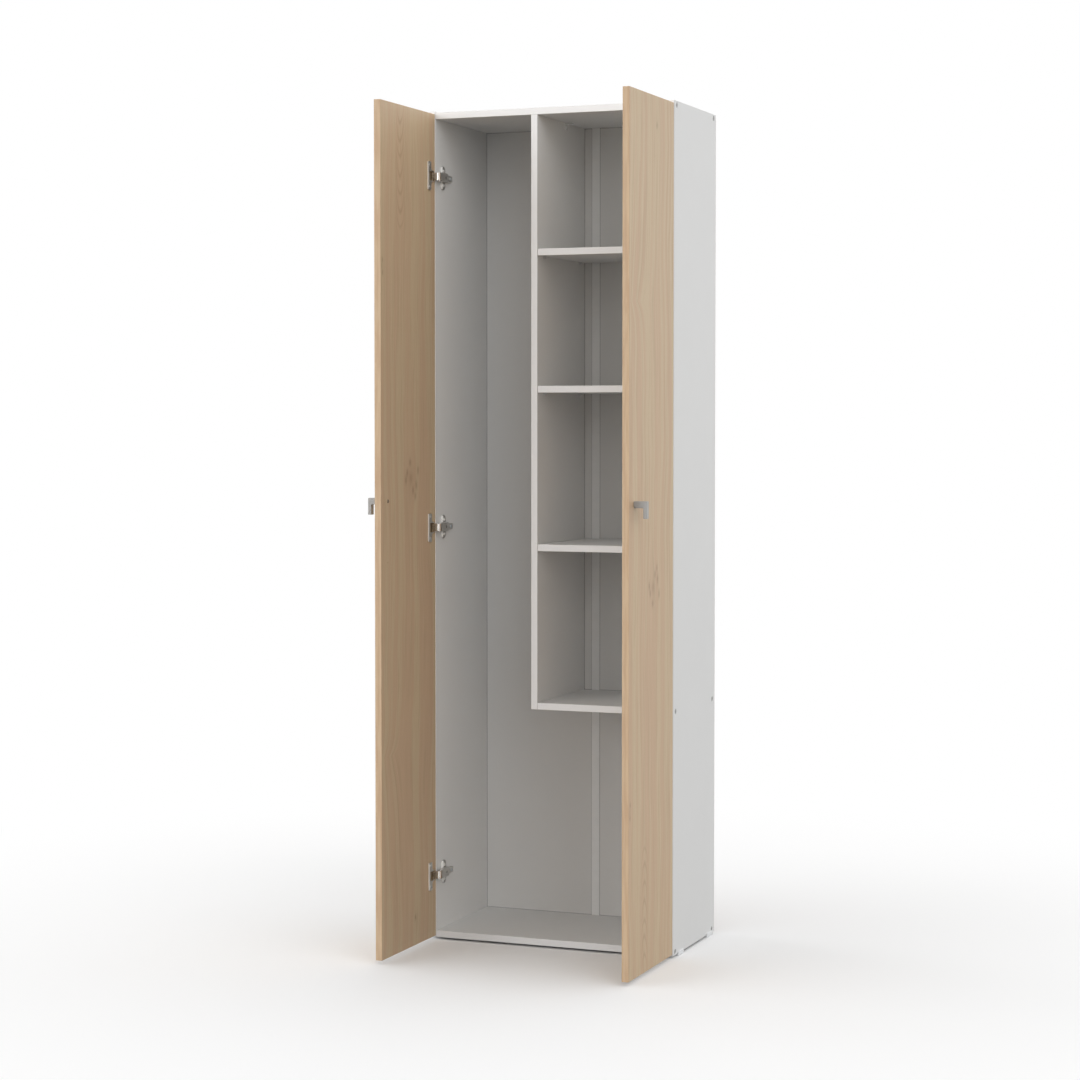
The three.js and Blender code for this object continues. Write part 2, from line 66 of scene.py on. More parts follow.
class Hand(Enum):
    """The side of the cupboard that a fitting belongs to, with the sign of its X."""

    LEFT = -1
    RIGHT = 1

    @property
    def word(self) -> str:
        """The hand as node names write it."""
        return self.name.lower()


class Level(Enum):
    """The three hinge levels of a door, as node names write them."""

    TOP = "top"
    MIDDLE = "middle"
    LOW = "low"


class Slot(Enum):
    """The record's material slots."""

    WHITE = "white_board"
    BACK = "back_board"
    OAK = "oak_board"
    HANDLE = "handle_grey"
    NICKEL = "nickel"
    PIN = "pin_steel"
    SCREW = "screw_steel"
    GLIDE = "glide_plastic"


class Axis(Enum):
    """The axis that a prism or a turned piece runs along."""

    X = 0
    Y = 1
    Z = 2

    def place(self, a: float, b: float, c: float) -> Vector:
        """A point whose c lies along this axis, with a and b on the two that follow it."""
        turned = [c, a, b]
        start = self.value
        return Vector(turned[(i - start) % 3] for i in range(3))


class Cut(Enum):
    """What a boolean does to the first of its two pieces."""

    TAKE = "DIFFERENCE"
    JOIN = "UNION"


class Drive(Enum):
    """The recess in a screw's head."""

    CROSS = "cross"
    HEX = "hex"
    NONE = "none"


def tint(red: float, green: float, blue: float) -> Colour:
    """A linear colour from the 0 to 255 values of a display colour.

    Args:
        red: Display red.
        green: Display green.
        blue: Display blue.

    Returns:
        Linear red, green, blue and a full alpha.
    """
    def channel(value: float) -> float:
        """One channel's linear value."""
        share = value / 255
        return share / 12.92 if share <= 0.04045 else ((share + 0.055) / 1.055) ** 2.4

    return channel(red), channel(green), channel(blue), 1.0


def shade(colour: Colour, factor: float) -> Colour:
    """The colour made lighter or darker by a factor."""
    return tuple(min(channel * factor, 1.0) for channel in colour[:3]) + (1.0,)


def grey(level: float) -> Colour:
    """A linear grey of a level from 0 to 1."""
    return level, level, level, 1.0


def arc(x: float, y: float, radius: float, start: float, end: float, steps: int) -> list[Point]:
    """Points on an arc.

    Args:
        x: The centre's first coordinate.
        y: The centre's second coordinate.
        radius: The arc's radius.
        start: The angle of the first point, in degrees.
        end: The angle of the last point, in degrees.
        steps: The parts that the arc is cut into.

    Returns:
        The points, both ends included.
    """
    angles = [math.radians(start + (end - start) * i / steps) for i in range(steps + 1)]
    return [(x + radius * math.cos(angle), y + radius * math.sin(angle)) for angle in angles]


def linked(name: str, data: bpy.types.ID) -> bpy.types.Object:
    """A new object in the scene, made of a mesh, a light or a camera."""
    made = bpy.data.objects.new(name, data)
    bpy.context.scene.collection.objects.link(made)
    return made


class Wire:
    """An output socket of a node tree, on which Python's operators add Math nodes."""

    def __init__(self, graph: "Graph", socket: bpy.types.NodeSocket) -> None:
        """Keeps the graph and the socket."""
        self.graph = graph
        self.socket = socket

    def __add__(self, other: "Value") -> "Wire":
        """This value plus another."""
        return self.graph.math("ADD", self, other)

    def __radd__(self, other: "Value") -> "Wire":
        """Another value plus this one."""
        return self.graph.math("ADD", other, self)

    def __sub__(self, other: "Value") -> "Wire":
        """This value less another."""
        return self.graph.math("SUBTRACT", self, other)

    def __rsub__(self, other: "Value") -> "Wire":
        """Another value less this one."""
        return self.graph.math("SUBTRACT", other, self)

    def __mul__(self, other: "Value") -> "Wire":
        """This value times another."""
        return self.graph.math("MULTIPLY", self, other)

    def __truediv__(self, other: "Value") -> "Wire":
        """This value over another."""
        return self.graph.math("DIVIDE", self, other)

    def __neg__(self) -> "Wire":
        """This value with its sign turned."""
        return self.graph.math("MULTIPLY", self, -1.0)

    def __lt__(self, other: "Value") -> "Wire":
        """One where this value is the lower, and zero elsewhere."""
        return self.graph.math("LESS_THAN", self, other)

    def __gt__(self, other: "Value") -> "Wire":
        """One where this value is the greater, and zero elsewhere."""
        return self.graph.math("GREATER_THAN", self, other)

    def __abs__(self) -> "Wire":
        """This value without its sign."""
        return self.graph.math("ABSOLUTE", self)


Value = Wire | float


class Graph:
    """A node tree in the making, for a material, the world or a geometry group."""

    def __init__(self, tree: bpy.types.NodeTree) -> None:
        """Keeps the tree that nodes are added to."""
        self.tree = tree

    @classmethod
    def emptied(cls, owner: bpy.types.Material | bpy.types.World) -> "Graph":
        """The graph of a new material or world, with no nodes in it."""
        owner.use_nodes = True
        owner.node_tree.nodes.clear()
        return cls(owner.node_tree)

    def node(
        self,
        kind: str,
        settings: dict[str, object] | None = None,
        inputs: dict[int | str, object] | None = None,
        output: int | str = 0,
    ) -> Wire:
        """Adds a node, sets it up and feeds its inputs.

        Args:
            kind: The node's type.
            settings: Properties of the node, set first.
            inputs: A wire or a plain value for each input, by index or name.
            output: The output that the caller goes on with.

        Returns:
            The output as a wire, which is empty on a node with no outputs.
        """
        made = self.tree.nodes.new(kind)
        for name, value in (settings or {}).items():
            setattr(made, name, value)
        for key, value in (inputs or {}).items():
            if isinstance(value, Wire):
                self.tree.links.new(value.socket, made.inputs[key])
            else:
                made.inputs[key].default_value = value
        return Wire(self, made.outputs[output] if len(made.outputs) else None)

    def math(self, operation: str, first: Value, second: Value = 0.0) -> Wire:
        """A Math node on one or two values."""
        return self.node("ShaderNodeMath", {"operation": operation}, {0: first, 1: second})

    def mix(self, factor: Value, low: Wire | Colour, high: Wire | Colour) -> Wire:
        """The colour between two, from low at factor 0 to high at factor 1."""
        settings = {"data_type": "RGBA", "clamp_factor": True}
        return self.node("ShaderNodeMix", settings, {0: factor, 6: low, 7: high}, 2)

    def vary(self, factor: Value, colour: Colour, tones: tuple[float, float]) -> Wire:
        """The colour made darker or lighter, from the first tone at factor 0 to the second at 1."""
        return self.mix(factor, *(shade(colour, tone) for tone in tones))

    def split(self, vector: Wire) -> tuple[Wire, Wire, Wire]:
        """The three parts of a vector."""
        x = self.node("ShaderNodeSeparateXYZ", {}, {0: vector})
        parts = x.socket.node.outputs
        return x, Wire(self, parts[1]), Wire(self, parts[2])

    def join(self, x: Value, y: Value, z: Value) -> Wire:
        """A vector from its three parts."""
        return self.node("ShaderNodeCombineXYZ", {}, {0: x, 1: y, 2: z})

    def noise(self, place: Wire, scale: float, detail: float = 2.0, roughness: float = 0.5) -> Wire:
        """Soft noise from 0 to 1 about 0.5.

        Args:
            place: The point that it is read at.
            scale: Lumps to a unit of length.
            detail: Finer layers that are added.
            roughness: How strong each finer layer is.

        Returns:
            The noise value.
        """
        inputs = {"Vector": place, "Scale": scale, "Detail": detail, "Roughness": roughness}
        return self.node("ShaderNodeTexNoise", {}, inputs)

    def smooth(self, value: Wire, low: float, high: float) -> Wire:
        """A soft step from 0 at low to 1 at high; low may be the greater."""
        settings = {"interpolation_type": "SMOOTHSTEP"}
        return self.node("ShaderNodeMapRange", settings, {0: value, 1: low, 2: high, 3: 0.0, 4: 1.0})

    def bell(self, value: Wire, centre: float, width: float) -> Wire:
        """A bell curve of height 1 about a centre."""
        offset = (value - centre) / width
        return self.math("EXPONENT", -(offset * offset))

    def bump(self, height: Wire, strength: float, distance: float) -> Wire:
        """A normal that follows a height.

        Args:
            height: The height, from 0 to 1.
            strength: How much of the bump shows.
            distance: The real height of a full step, in metres.

        Returns:
            The normal.
        """
        inputs = {"Strength": strength, "Distance": distance, "Height": height}
        return self.node("ShaderNodeBump", {}, inputs)


@dataclass(frozen=True)
class Finish:
    """A surface finish, which makes its material once and hands it out again.

    In the finishes below, tones are how dark and how light a colour runs, and bump is the strength
    and the depth of the relief.
    """

    name: str
    slot: Slot

    def surface(self, graph: Graph, point: Wire) -> dict[str, object]:
        """What the finish feeds to the shader.

        Args:
            graph: The material's graph.
            point: The place on the piece, in metres.

        Returns:
            Values and wires by the shader's input names.
        """
        raise NotImplementedError

    def material(self) -> bpy.types.Material:
        """The finish as a material, made at the first call."""
        known = bpy.data.materials.get(self.name)
        if known:
            return known
        made = bpy.data.materials.new(self.name)
        graph = Graph.emptied(made)
        point = graph.node("ShaderNodeTexCoord", output="Object")
        shader = graph.node("ShaderNodeBsdfPrincipled", {}, self.surface(graph, point))
        graph.node("ShaderNodeOutputMaterial", {}, {"Surface": shader})
        return made


@dataclass(frozen=True)
class Melamine(Finish):
    """White melamine-faced board, with an edge tape along its front.

    The scales of its noises are lumps to a metre, as in every finish but Oak.
    """

    colour: Colour = tint(219, 219, 218)
    tape_colour: Colour = tint(239, 238, 237)
    glue_colour: Colour = tint(92, 87, 80)
    front: float = 0.0
    tape: float = 0.45 * MM
    glue: float = 0.4 * MM
    clouds: float = 7.0
    specks: float = 900.0
    rubs: float = 24.0
    peel: float = 1400.0
    roughness: float = 0.44
    tones: tuple[float, float] = (0.975, 1.02)
    glue_dark: float = 0.6
    bump: tuple[float, float] = (0.12, 0.1 * MM)

    def surface(self, graph: Graph, point: Wire) -> dict[str, object]:
        """Faint clouds and specks, a fine peel, and the tape's glue line, darkened by painted shade."""
        _, y, _ = graph.split(point)
        tone = graph.noise(point, self.clouds, 3.0) * 0.7 + graph.noise(point, self.specks, 1.0) * 0.3
        face = graph.vary(tone, self.colour, self.tones)
        face = graph.mix(y < self.front + self.tape, face, self.tape_colour)
        # The dark line behind the tape is a glue joint, darkened with painted shade of the gap at the tape's
        # edge.
        seam = graph.bell(y, self.front + self.tape + self.glue, self.glue)
        colour = graph.mix(seam * self.glue_dark, face, self.glue_colour)
        rub = graph.noise(point, self.rubs, 4.0, 0.6)
        return {
            "Base Color": colour,
            "Roughness": self.roughness + rub * 0.12,
            "Specular IOR Level": 0.4,
            "Normal": graph.bump(graph.noise(point, self.peel, 2.0), *self.bump),
        }


@dataclass(frozen=True)
class Hardboard(Finish):
    """Thin hardboard, painted white in front and bare brown fibre behind.

    A seam is a painted shadow line where an upright meets the paint: its X and its foot. A ledge is a
    painted shadow line where a level board meets it: its Z and the X that it starts at. The mesh that
    is pressed into the rear has its pitch in radians to a metre. The bare fibre begins and is full at
    two distances before the rear face.
    """

    rear: float = 0.0
    seams: tuple[tuple[float, float], ...] = ()
    ledges: tuple[tuple[float, float], ...] = ()
    seam_width: float = 0.9 * MM
    seam_dark: float = 0.7
    bare_from: float = 0.5 * MM
    bare_full: float = 0.2 * MM
    clouds: float = 6.0
    strands: tuple[float, float] = (420.0, 160.0)
    mesh_pitch: float = 3500.0
    roughness: float = 0.5
    colour: Colour = tint(216, 215, 213)
    seam_colour: Colour = tint(78, 77, 76)
    fibre: Colour = tint(142, 112, 82)
    tones: tuple[float, float] = (0.97, 1.02)
    fibre_tones: tuple[float, float] = (0.78, 1.16)
    bump: tuple[float, float] = (0.2, 0.12 * MM)

    def surface(self, graph: Graph, point: Wire) -> dict[str, object]:
        """A painted front with painted shadow lines, and a fibrous brown rear with a pressed mesh."""
        x, y, z = graph.split(point)
        cloud = graph.noise(point, self.clouds, 3.0)
        paint = graph.vary(cloud, self.colour, self.tones)
        strand = graph.noise(graph.join(x * self.strands[0], y, z * self.strands[1]), 1.0, 3.0, 0.65)
        bare = graph.vary(strand, self.fibre, self.fibre_tones)
        # Painted shadow: dark lines on the paint where the uprights, the level boards and the strip meet the
        # backs.
        gap: Value = 0.0
        for place, foot in self.seams:
            gap = graph.bell(x, place, self.seam_width) * (z > foot) + gap
        for level, start in self.ledges:
            gap = graph.bell(z, level, self.seam_width) * (x > start) + gap
        paint = graph.mix(gap * self.seam_dark, paint, self.seam_colour)
        behind = graph.smooth(y, self.rear - self.bare_from, self.rear - self.bare_full)
        mesh = graph.math("SINE", x * self.mesh_pitch) * graph.math("SINE", z * self.mesh_pitch)
        relief = (0.5 + mesh * 0.5) * behind + strand * 0.4
        return {
            "Base Color": graph.mix(behind, paint, bare),
            "Roughness": self.roughness + behind * 0.25 + cloud * 0.08,
            "Normal": graph.bump(relief, *self.bump),
        }


@dataclass(frozen=True)
class Mark:
    """A mark in the grain: its place, and how wide and long it is, in millimetres."""

    across: float
    along: float
    width: float
    length: float

    def spot(self, graph: Graph, across: Wire, along: Wire) -> Wire:
        """One in the mark's middle, falling off to zero round it."""
        return graph.bell(across, self.across, self.width) * graph.bell(along, self.along, self.length)


@dataclass(frozen=True)
class Knot(Mark):
    """A knot: a mark that bends the grain, with a core that is darker than the ring round it."""

    spread: float
    core: float
    dark: float

    def shades(self) -> list[tuple[Mark, float]]:
        """The core and the ring as marks, and how dark each is."""
        core = Mark(self.across, self.along, self.core, self.core * 1.5)
        ring = Mark(self.across, self.along, self.width * 0.8, self.length * 0.7)
        return [(core, self.dark), (ring, self.dark * 0.4)]


@dataclass(frozen=True)
class Lumps:
    """A layer of soft noise, with the size of its lumps on three axes, in millimetres."""

    size: tuple[float, float, float]
    detail: float = 1.0
    roughness: float = 0.5

    def at(self, graph: Graph, *place: Value) -> Wire:
        """The noise at a place, from 0 to 1 about 0.5."""
        parts = [part / size for part, size in zip(place, self.size)]
        return graph.noise(graph.join(*parts), 1.0, self.detail, self.roughness)


@dataclass(frozen=True)
class Stain:
    """How a layer colours the wood: where it starts and is full, its share, and its tone."""

    start: float
    full: float
    share: float
    tone: tuple[float, float, float]


@dataclass(frozen=True)
class Span:
    """A stretch along the board: where it begins and is full, and where it wanes and ends."""

    begin: float
    full: float
    wane: float
    end: float

    def mask(self, graph: Graph, along: Wire) -> Wire:
        """One inside the stretch and zero outside it, with soft ends."""
        return graph.smooth(along, self.begin, self.full) * graph.smooth(along, self.end, self.wane)


@dataclass(frozen=True)
class Oak(Finish):
    """Pale oak-look laminate on a door.

    Places of the figure are millimetres from the free edge and from the end of the door that the
    figure starts at. A reach is how far its layer moves the grain.
    """

    free_edge: float = 0.0
    start: float = 0.0
    sign: float = 1.0
    width: float = 283.5
    length: float = 1835.0
    tape: float = 0.8
    colour: Colour = tint(193, 168, 138)
    knot_colour: Colour = tint(114, 84, 60)
    tape_colours: tuple[Colour, Colour] = (tint(201, 174, 142), tint(191, 160, 129))
    knots: tuple[Knot, ...] = (
        Knot(152, 1030, 34, 62, spread=0.62, core=9.0, dark=0.22),
        Knot(175, 60, 22, 40, spread=0.45, core=5.0, dark=0.14),
        Knot(6, 1484, 16, 34, spread=0.5, core=5.0, dark=0.12),
    )
    flecks: tuple[Mark, ...] = (
        Mark(181, 1014, 5.4, 11),
        Mark(176, 990, 4.4, 8),
        Mark(127, 1026, 4.8, 10),
        Mark(149, 1064, 5.0, 8),
        Mark(164, 1003, 4.6, 9),
        Mark(190, 1046, 4.6, 10),
        Mark(134, 1042, 4.4, 8),
        Mark(10, 1470, 3.0, 6),
        Mark(9, 1497, 3.2, 6),
        Mark(172, 62, 2.6, 6),
    )
    fleck_dark: float = 0.38
    wander: Lumps = Lumps((240.0, 420.0, 1.0))
    wander_reach: float = 60.0
    ripple: Lumps = Lumps((60.0, 130.0, 1.0))
    ripple_reach: float = 13.0
    pinch_at: float = 435.0
    pinch_across: float = 50.0
    pinch_width: float = 60.0
    pinch_fade: float = 30.0
    pinch_fade_more: float = 70.0
    pinch_reach: float = 40.0
    arch_centre: float = 100.0
    arch_step: float = 38.0
    arch_bend: float = 0.11
    arch_width: float = 34.0
    arch_span: Span = Span(1535.0, 1595.0, 1800.0, 1835.0)
    arch_drift: Lumps = Lumps((50.0, 70.0, 1.0))
    arch_drift_reach: float = 1.2
    arch_sharp: float = 4.0
    arch_dark: float = 0.7
    long_line: float = 92.0
    long_line_width: float = 2.4
    long_line_span: Span = Span(150.0, 260.0, 430.0, 520.0)
    long_line_dark: float = 0.5
    line_tone: tuple[float, float, float] = (0.78, 0.72, 0.68)
    bands: Lumps = Lumps((17.0, 900.0, 60.0))
    band_edge: tuple[float, float] = (0.4, 0.6)
    pale_band: tuple[float, float, float] = (1.03, 1.085, 1.07)
    dark_band: tuple[float, float, float] = (0.995, 0.94, 0.935)
    streaks: Lumps = Lumps((6.0, 260.0, 30.0), 2.0)
    dark_streak: Stain = Stain(0.52, 0.7, 0.6, (0.86, 0.82, 0.79))
    pale_streak: Stain = Stain(0.46, 0.32, 0.35, (1.08, 1.1, 1.12))
    fibres: Lumps = Lumps((1.3, 60.0, 2.0), 3.0, 0.6)
    dark_fibre: Stain = Stain(0.4, 0.75, 0.4, (0.86, 0.84, 0.82))
    pores: Lumps = Lumps((0.9, 12.0, 1.0))
    dark_pore: Stain = Stain(0.64, 0.76, 0.35, (0.7, 0.7, 0.7))
    tape_figure: Lumps = Lumps((6.0, 40.0, 90.0), 2.0)
    tape_edge: tuple[float, float] = (0.35, 0.65)
    roughness: float = 0.46
    bump: tuple[float, float] = (0.14, 0.12 * MM)

    def toned(self, red: float, green: float, blue: float) -> Colour:
        """The oak's colour with each channel made stronger or weaker."""
        return self.colour[0] * red, self.colour[1] * green, self.colour[2] * blue, 1.0

    def _flow(self, graph: Graph, across: Wire, along: Wire) -> Wire:
        """The place across the board that the grain at a point comes from.

        Args:
            graph: The material's graph.
            across: Millimetres from the free edge.
            along: Millimetres from the figure's start.

        Returns:
            The place across, bent round the knots and drawn in at the crotch.
        """
        flow = across + (self.wander.at(graph, across, along, 0.0) - 0.5) * self.wander_reach
        flow = flow + (self.ripple.at(graph, across, along, 4.0) - 0.5) * self.ripple_reach
        fade = self.pinch_fade + (along < self.pinch_at) * self.pinch_fade_more
        near = graph.math("EXPONENT", -(abs(along - self.pinch_at) / fade))
        flow = flow + near * graph.bell(across, self.pinch_across, self.pinch_width) * self.pinch_reach
        for knot in self.knots:
            flow = flow - (across - knot.across) * knot.spot(graph, across, along) * knot.spread
        return flow

    def _knot_mask(self, graph: Graph, across: Wire, along: Wire) -> Wire:
        """How dark the knots and the flecks beside them are at a point, from 0 to 1."""
        shades = [(fleck, self.fleck_dark) for fleck in self.flecks]
        for knot in self.knots:
            shades += knot.shades()
        mask: Value = 0.0
        for mark, dark in shades:
            mask = mark.spot(graph, across, along) * dark + mask
        return mask

    def _lines(self, graph: Graph, flow: Wire, across: Wire, along: Wire) -> Wire:
        """The nested arches near the figure's end and the long line near its start, from 0 to 1."""
        offset = across - self.arch_centre
        drift = self.arch_drift.at(graph, across, along, 9.0) - 0.5
        phase = (along - offset * offset * self.arch_bend) / self.arch_step + drift * self.arch_drift_reach
        wave = graph.math("SINE", phase * (2 * math.pi)) * 0.5 + 0.5
        arches = graph.math("POWER", wave, self.arch_sharp)
        arches = arches * graph.bell(across, self.arch_centre, self.arch_width)
        arches = arches * self.arch_span.mask(graph, along) * self.arch_dark
        line = graph.bell(flow, self.long_line, self.long_line_width)
        return line * self.long_line_span.mask(graph, along) * self.long_line_dark + arches

    def surface(self, graph: Graph, point: Wire) -> dict[str, object]:
        """Bands, streaks and fibres along the flow, with the figure's knots, arches and long line."""
        x, y, z = graph.split(point)
        across = (y - self.free_edge) / MM
        along = (z - self.start) * (self.sign / MM)
        depth = x / MM
        flow = self._flow(graph, across, along)
        layers = (self.bands, self.streaks, self.fibres, self.pores)
        bands, streaks, fibres, pores = (layer.at(graph, flow, along, depth) for layer in layers)
        banded = graph.smooth(bands, *self.band_edge)
        wood = graph.mix(banded, self.toned(*self.pale_band), self.toned(*self.dark_band))
        stained = [
            (streaks, self.dark_streak),
            (streaks, self.pale_streak),
            (fibres, self.dark_fibre),
            (pores, self.dark_pore),
        ]
        for layer, stain in stained:
            share = graph.smooth(layer, stain.start, stain.full) * stain.share
            wood = graph.mix(share, wood, self.toned(*stain.tone))
        wood = graph.mix(self._lines(graph, flow, across, along), wood, self.toned(*self.line_tone))
        wood = graph.mix(self._knot_mask(graph, across, along), wood, self.knot_colour)
        figure = graph.smooth(self.tape_figure.at(graph, depth, flow, along), *self.tape_edge)
        wood = graph.mix(self._tape_mask(across, along), wood, graph.mix(figure, *self.tape_colours))
        pore = graph.smooth(pores, self.dark_pore.start, self.dark_pore.full)
        return {
            "Base Color": wood,
            "Roughness": self.roughness + fibres * 0.1 + pore * 0.08,
            "Specular IOR Level": 0.4,
            "Normal": graph.bump(fibres - pore * 0.6, *self.bump),
        }

    def _tape_mask(self, across: Wire, along: Wire) -> Wire:
        """One on the edge tapes round the door, and zero on its faces."""
        sides = (across < self.tape) + (self.width - across < self.tape)
        ends = (along < self.tape) + (self.length - along < self.tape)
        return sides + ends


@dataclass(frozen=True)
class Metal(Finish):
    """Plated or satin metal, with fine wear in its gloss."""

    colour: Colour = tint(200, 198, 194)
    metallic: float = 1.0
    roughness: float = 0.3
    wear: float = 0.12
    clouds: float = 60.0
    streaks: tuple[float, float, float] = (1500.0, 1500.0, 120.0)
    grain: float = 900.0
    tones: tuple[float, float] = (0.9, 1.08)
    bump: tuple[float, float] = (0.05, 0.05 * MM)

    def surface(self, graph: Graph, point: Wire) -> dict[str, object]:
        """Clouded gloss, faint streaks and a fine grain."""
        parts = [part * scale for part, scale in zip(graph.split(point), self.streaks)]
        streak = graph.noise(graph.join(*parts), 1.0, 2.0)
        tone = graph.noise(point, self.clouds, 3.0, 0.6) * 0.6 + streak * 0.4
        return {
            "Base Color": graph.vary(tone, self.colour, self.tones),
            "Metallic": self.metallic,
            "Roughness": self.roughness - self.wear / 2 + tone * self.wear,
            "Normal": graph.bump(graph.noise(point, self.grain, 2.0), *self.bump),
        }


@dataclass(frozen=True)
class Pressing(Metal):
    """Plated sheet with a painted highlight along its front edge."""

    edge: float = 0.0
    edge_fade: float = 0.8 * MM
    edge_colour: Colour = tint(226, 224, 219)

    def surface(self, graph: Graph, point: Wire) -> dict[str, object]:
        """The plating, and a painted highlight in front of a plane."""
        fed = super().surface(graph, point)
        _, y, _ = graph.split(point)
        # Painted highlight: in front of the plane the sheet is coloured bright and is not metallic.
        highlight = graph.smooth(y, self.edge + self.edge_fade, self.edge)
        fed["Base Color"] = graph.mix(highlight, fed["Base Color"], self.edge_colour)
        fed["Metallic"] = (1.0 - highlight) * self.metallic
        return fed


@dataclass(frozen=True)
class CupMetal(Pressing):
    """The plating of a hinge's cup, with painted brown shade deep in its bowl."""

    mouth: float = 0.0
    grease: Colour = tint(156, 136, 110)

    def surface(self, graph: Graph, point: Wire) -> dict[str, object]:
        """The pressed plating, and painted shade beyond the mouth's distance from the middle."""
        fed = super().surface(graph, point)
        x, _, _ = graph.split(point)
        # Painted shade: past the mouth the bowl is coloured dark brown, like the door's wood in shade, and is
        # not metallic.
        deep = abs(x) > self.mouth
        fed["Base Color"] = graph.mix(deep, fed["Base Color"], self.grease)
        fed["Metallic"] = fed["Metallic"] * (1.0 - deep)
        return fed


@dataclass(frozen=True)
class LinkMetal(Metal):
    """A link's plating, with painted shade at its cup end and a painted reflection of wood at the arm."""

    front: float = 0.0
    grease_from: float = 10.2 * MM
    bush_to: float = 7.6 * MM
    grease: Colour = tint(126, 110, 88)
    bush: Colour = tint(176, 148, 120)

    def surface(self, graph: Graph, point: Wire) -> dict[str, object]:
        """The plating between the painted reflection and the painted shade."""
        fed = super().surface(graph, point)
        _, y, _ = graph.split(point)
        # Painted shade at the end inside the cup, and a painted tan reflection of the wood near the arm;
        # neither is metallic.
        shaded = y < self.front - self.grease_from
        reflecting = y > self.front - self.bush_to
        plated = graph.mix(shaded, fed["Base Color"], self.grease)
        fed["Base Color"] = graph.mix(reflecting, plated, self.bush)
        fed["Metallic"] = (1.0 - shaded - reflecting) * self.metallic
        return fed


@dataclass(frozen=True)
class Plastic(Finish):
    """Pale moulded plastic, a little waxy."""

    colour: Colour = tint(214, 216, 217)
    clouds: float = 40.0
    grain: float = 1800.0
    roughness: float = 0.36
    tones: tuple[float, float] = (0.93, 1.03)
    bump: tuple[float, float] = (0.08, 0.05 * MM)

    def surface(self, graph: Graph, point: Wire) -> dict[str, object]:
        """Faint clouds and a fine moulded grain."""
        cloud = graph.noise(point, self.clouds, 3.0)
        return {
            "Base Color": graph.vary(cloud, self.colour, self.tones),
            "Roughness": self.roughness + cloud * 0.12,
            "Normal": graph.bump(graph.noise(point, self.grain, 1.0), *self.bump),
        }


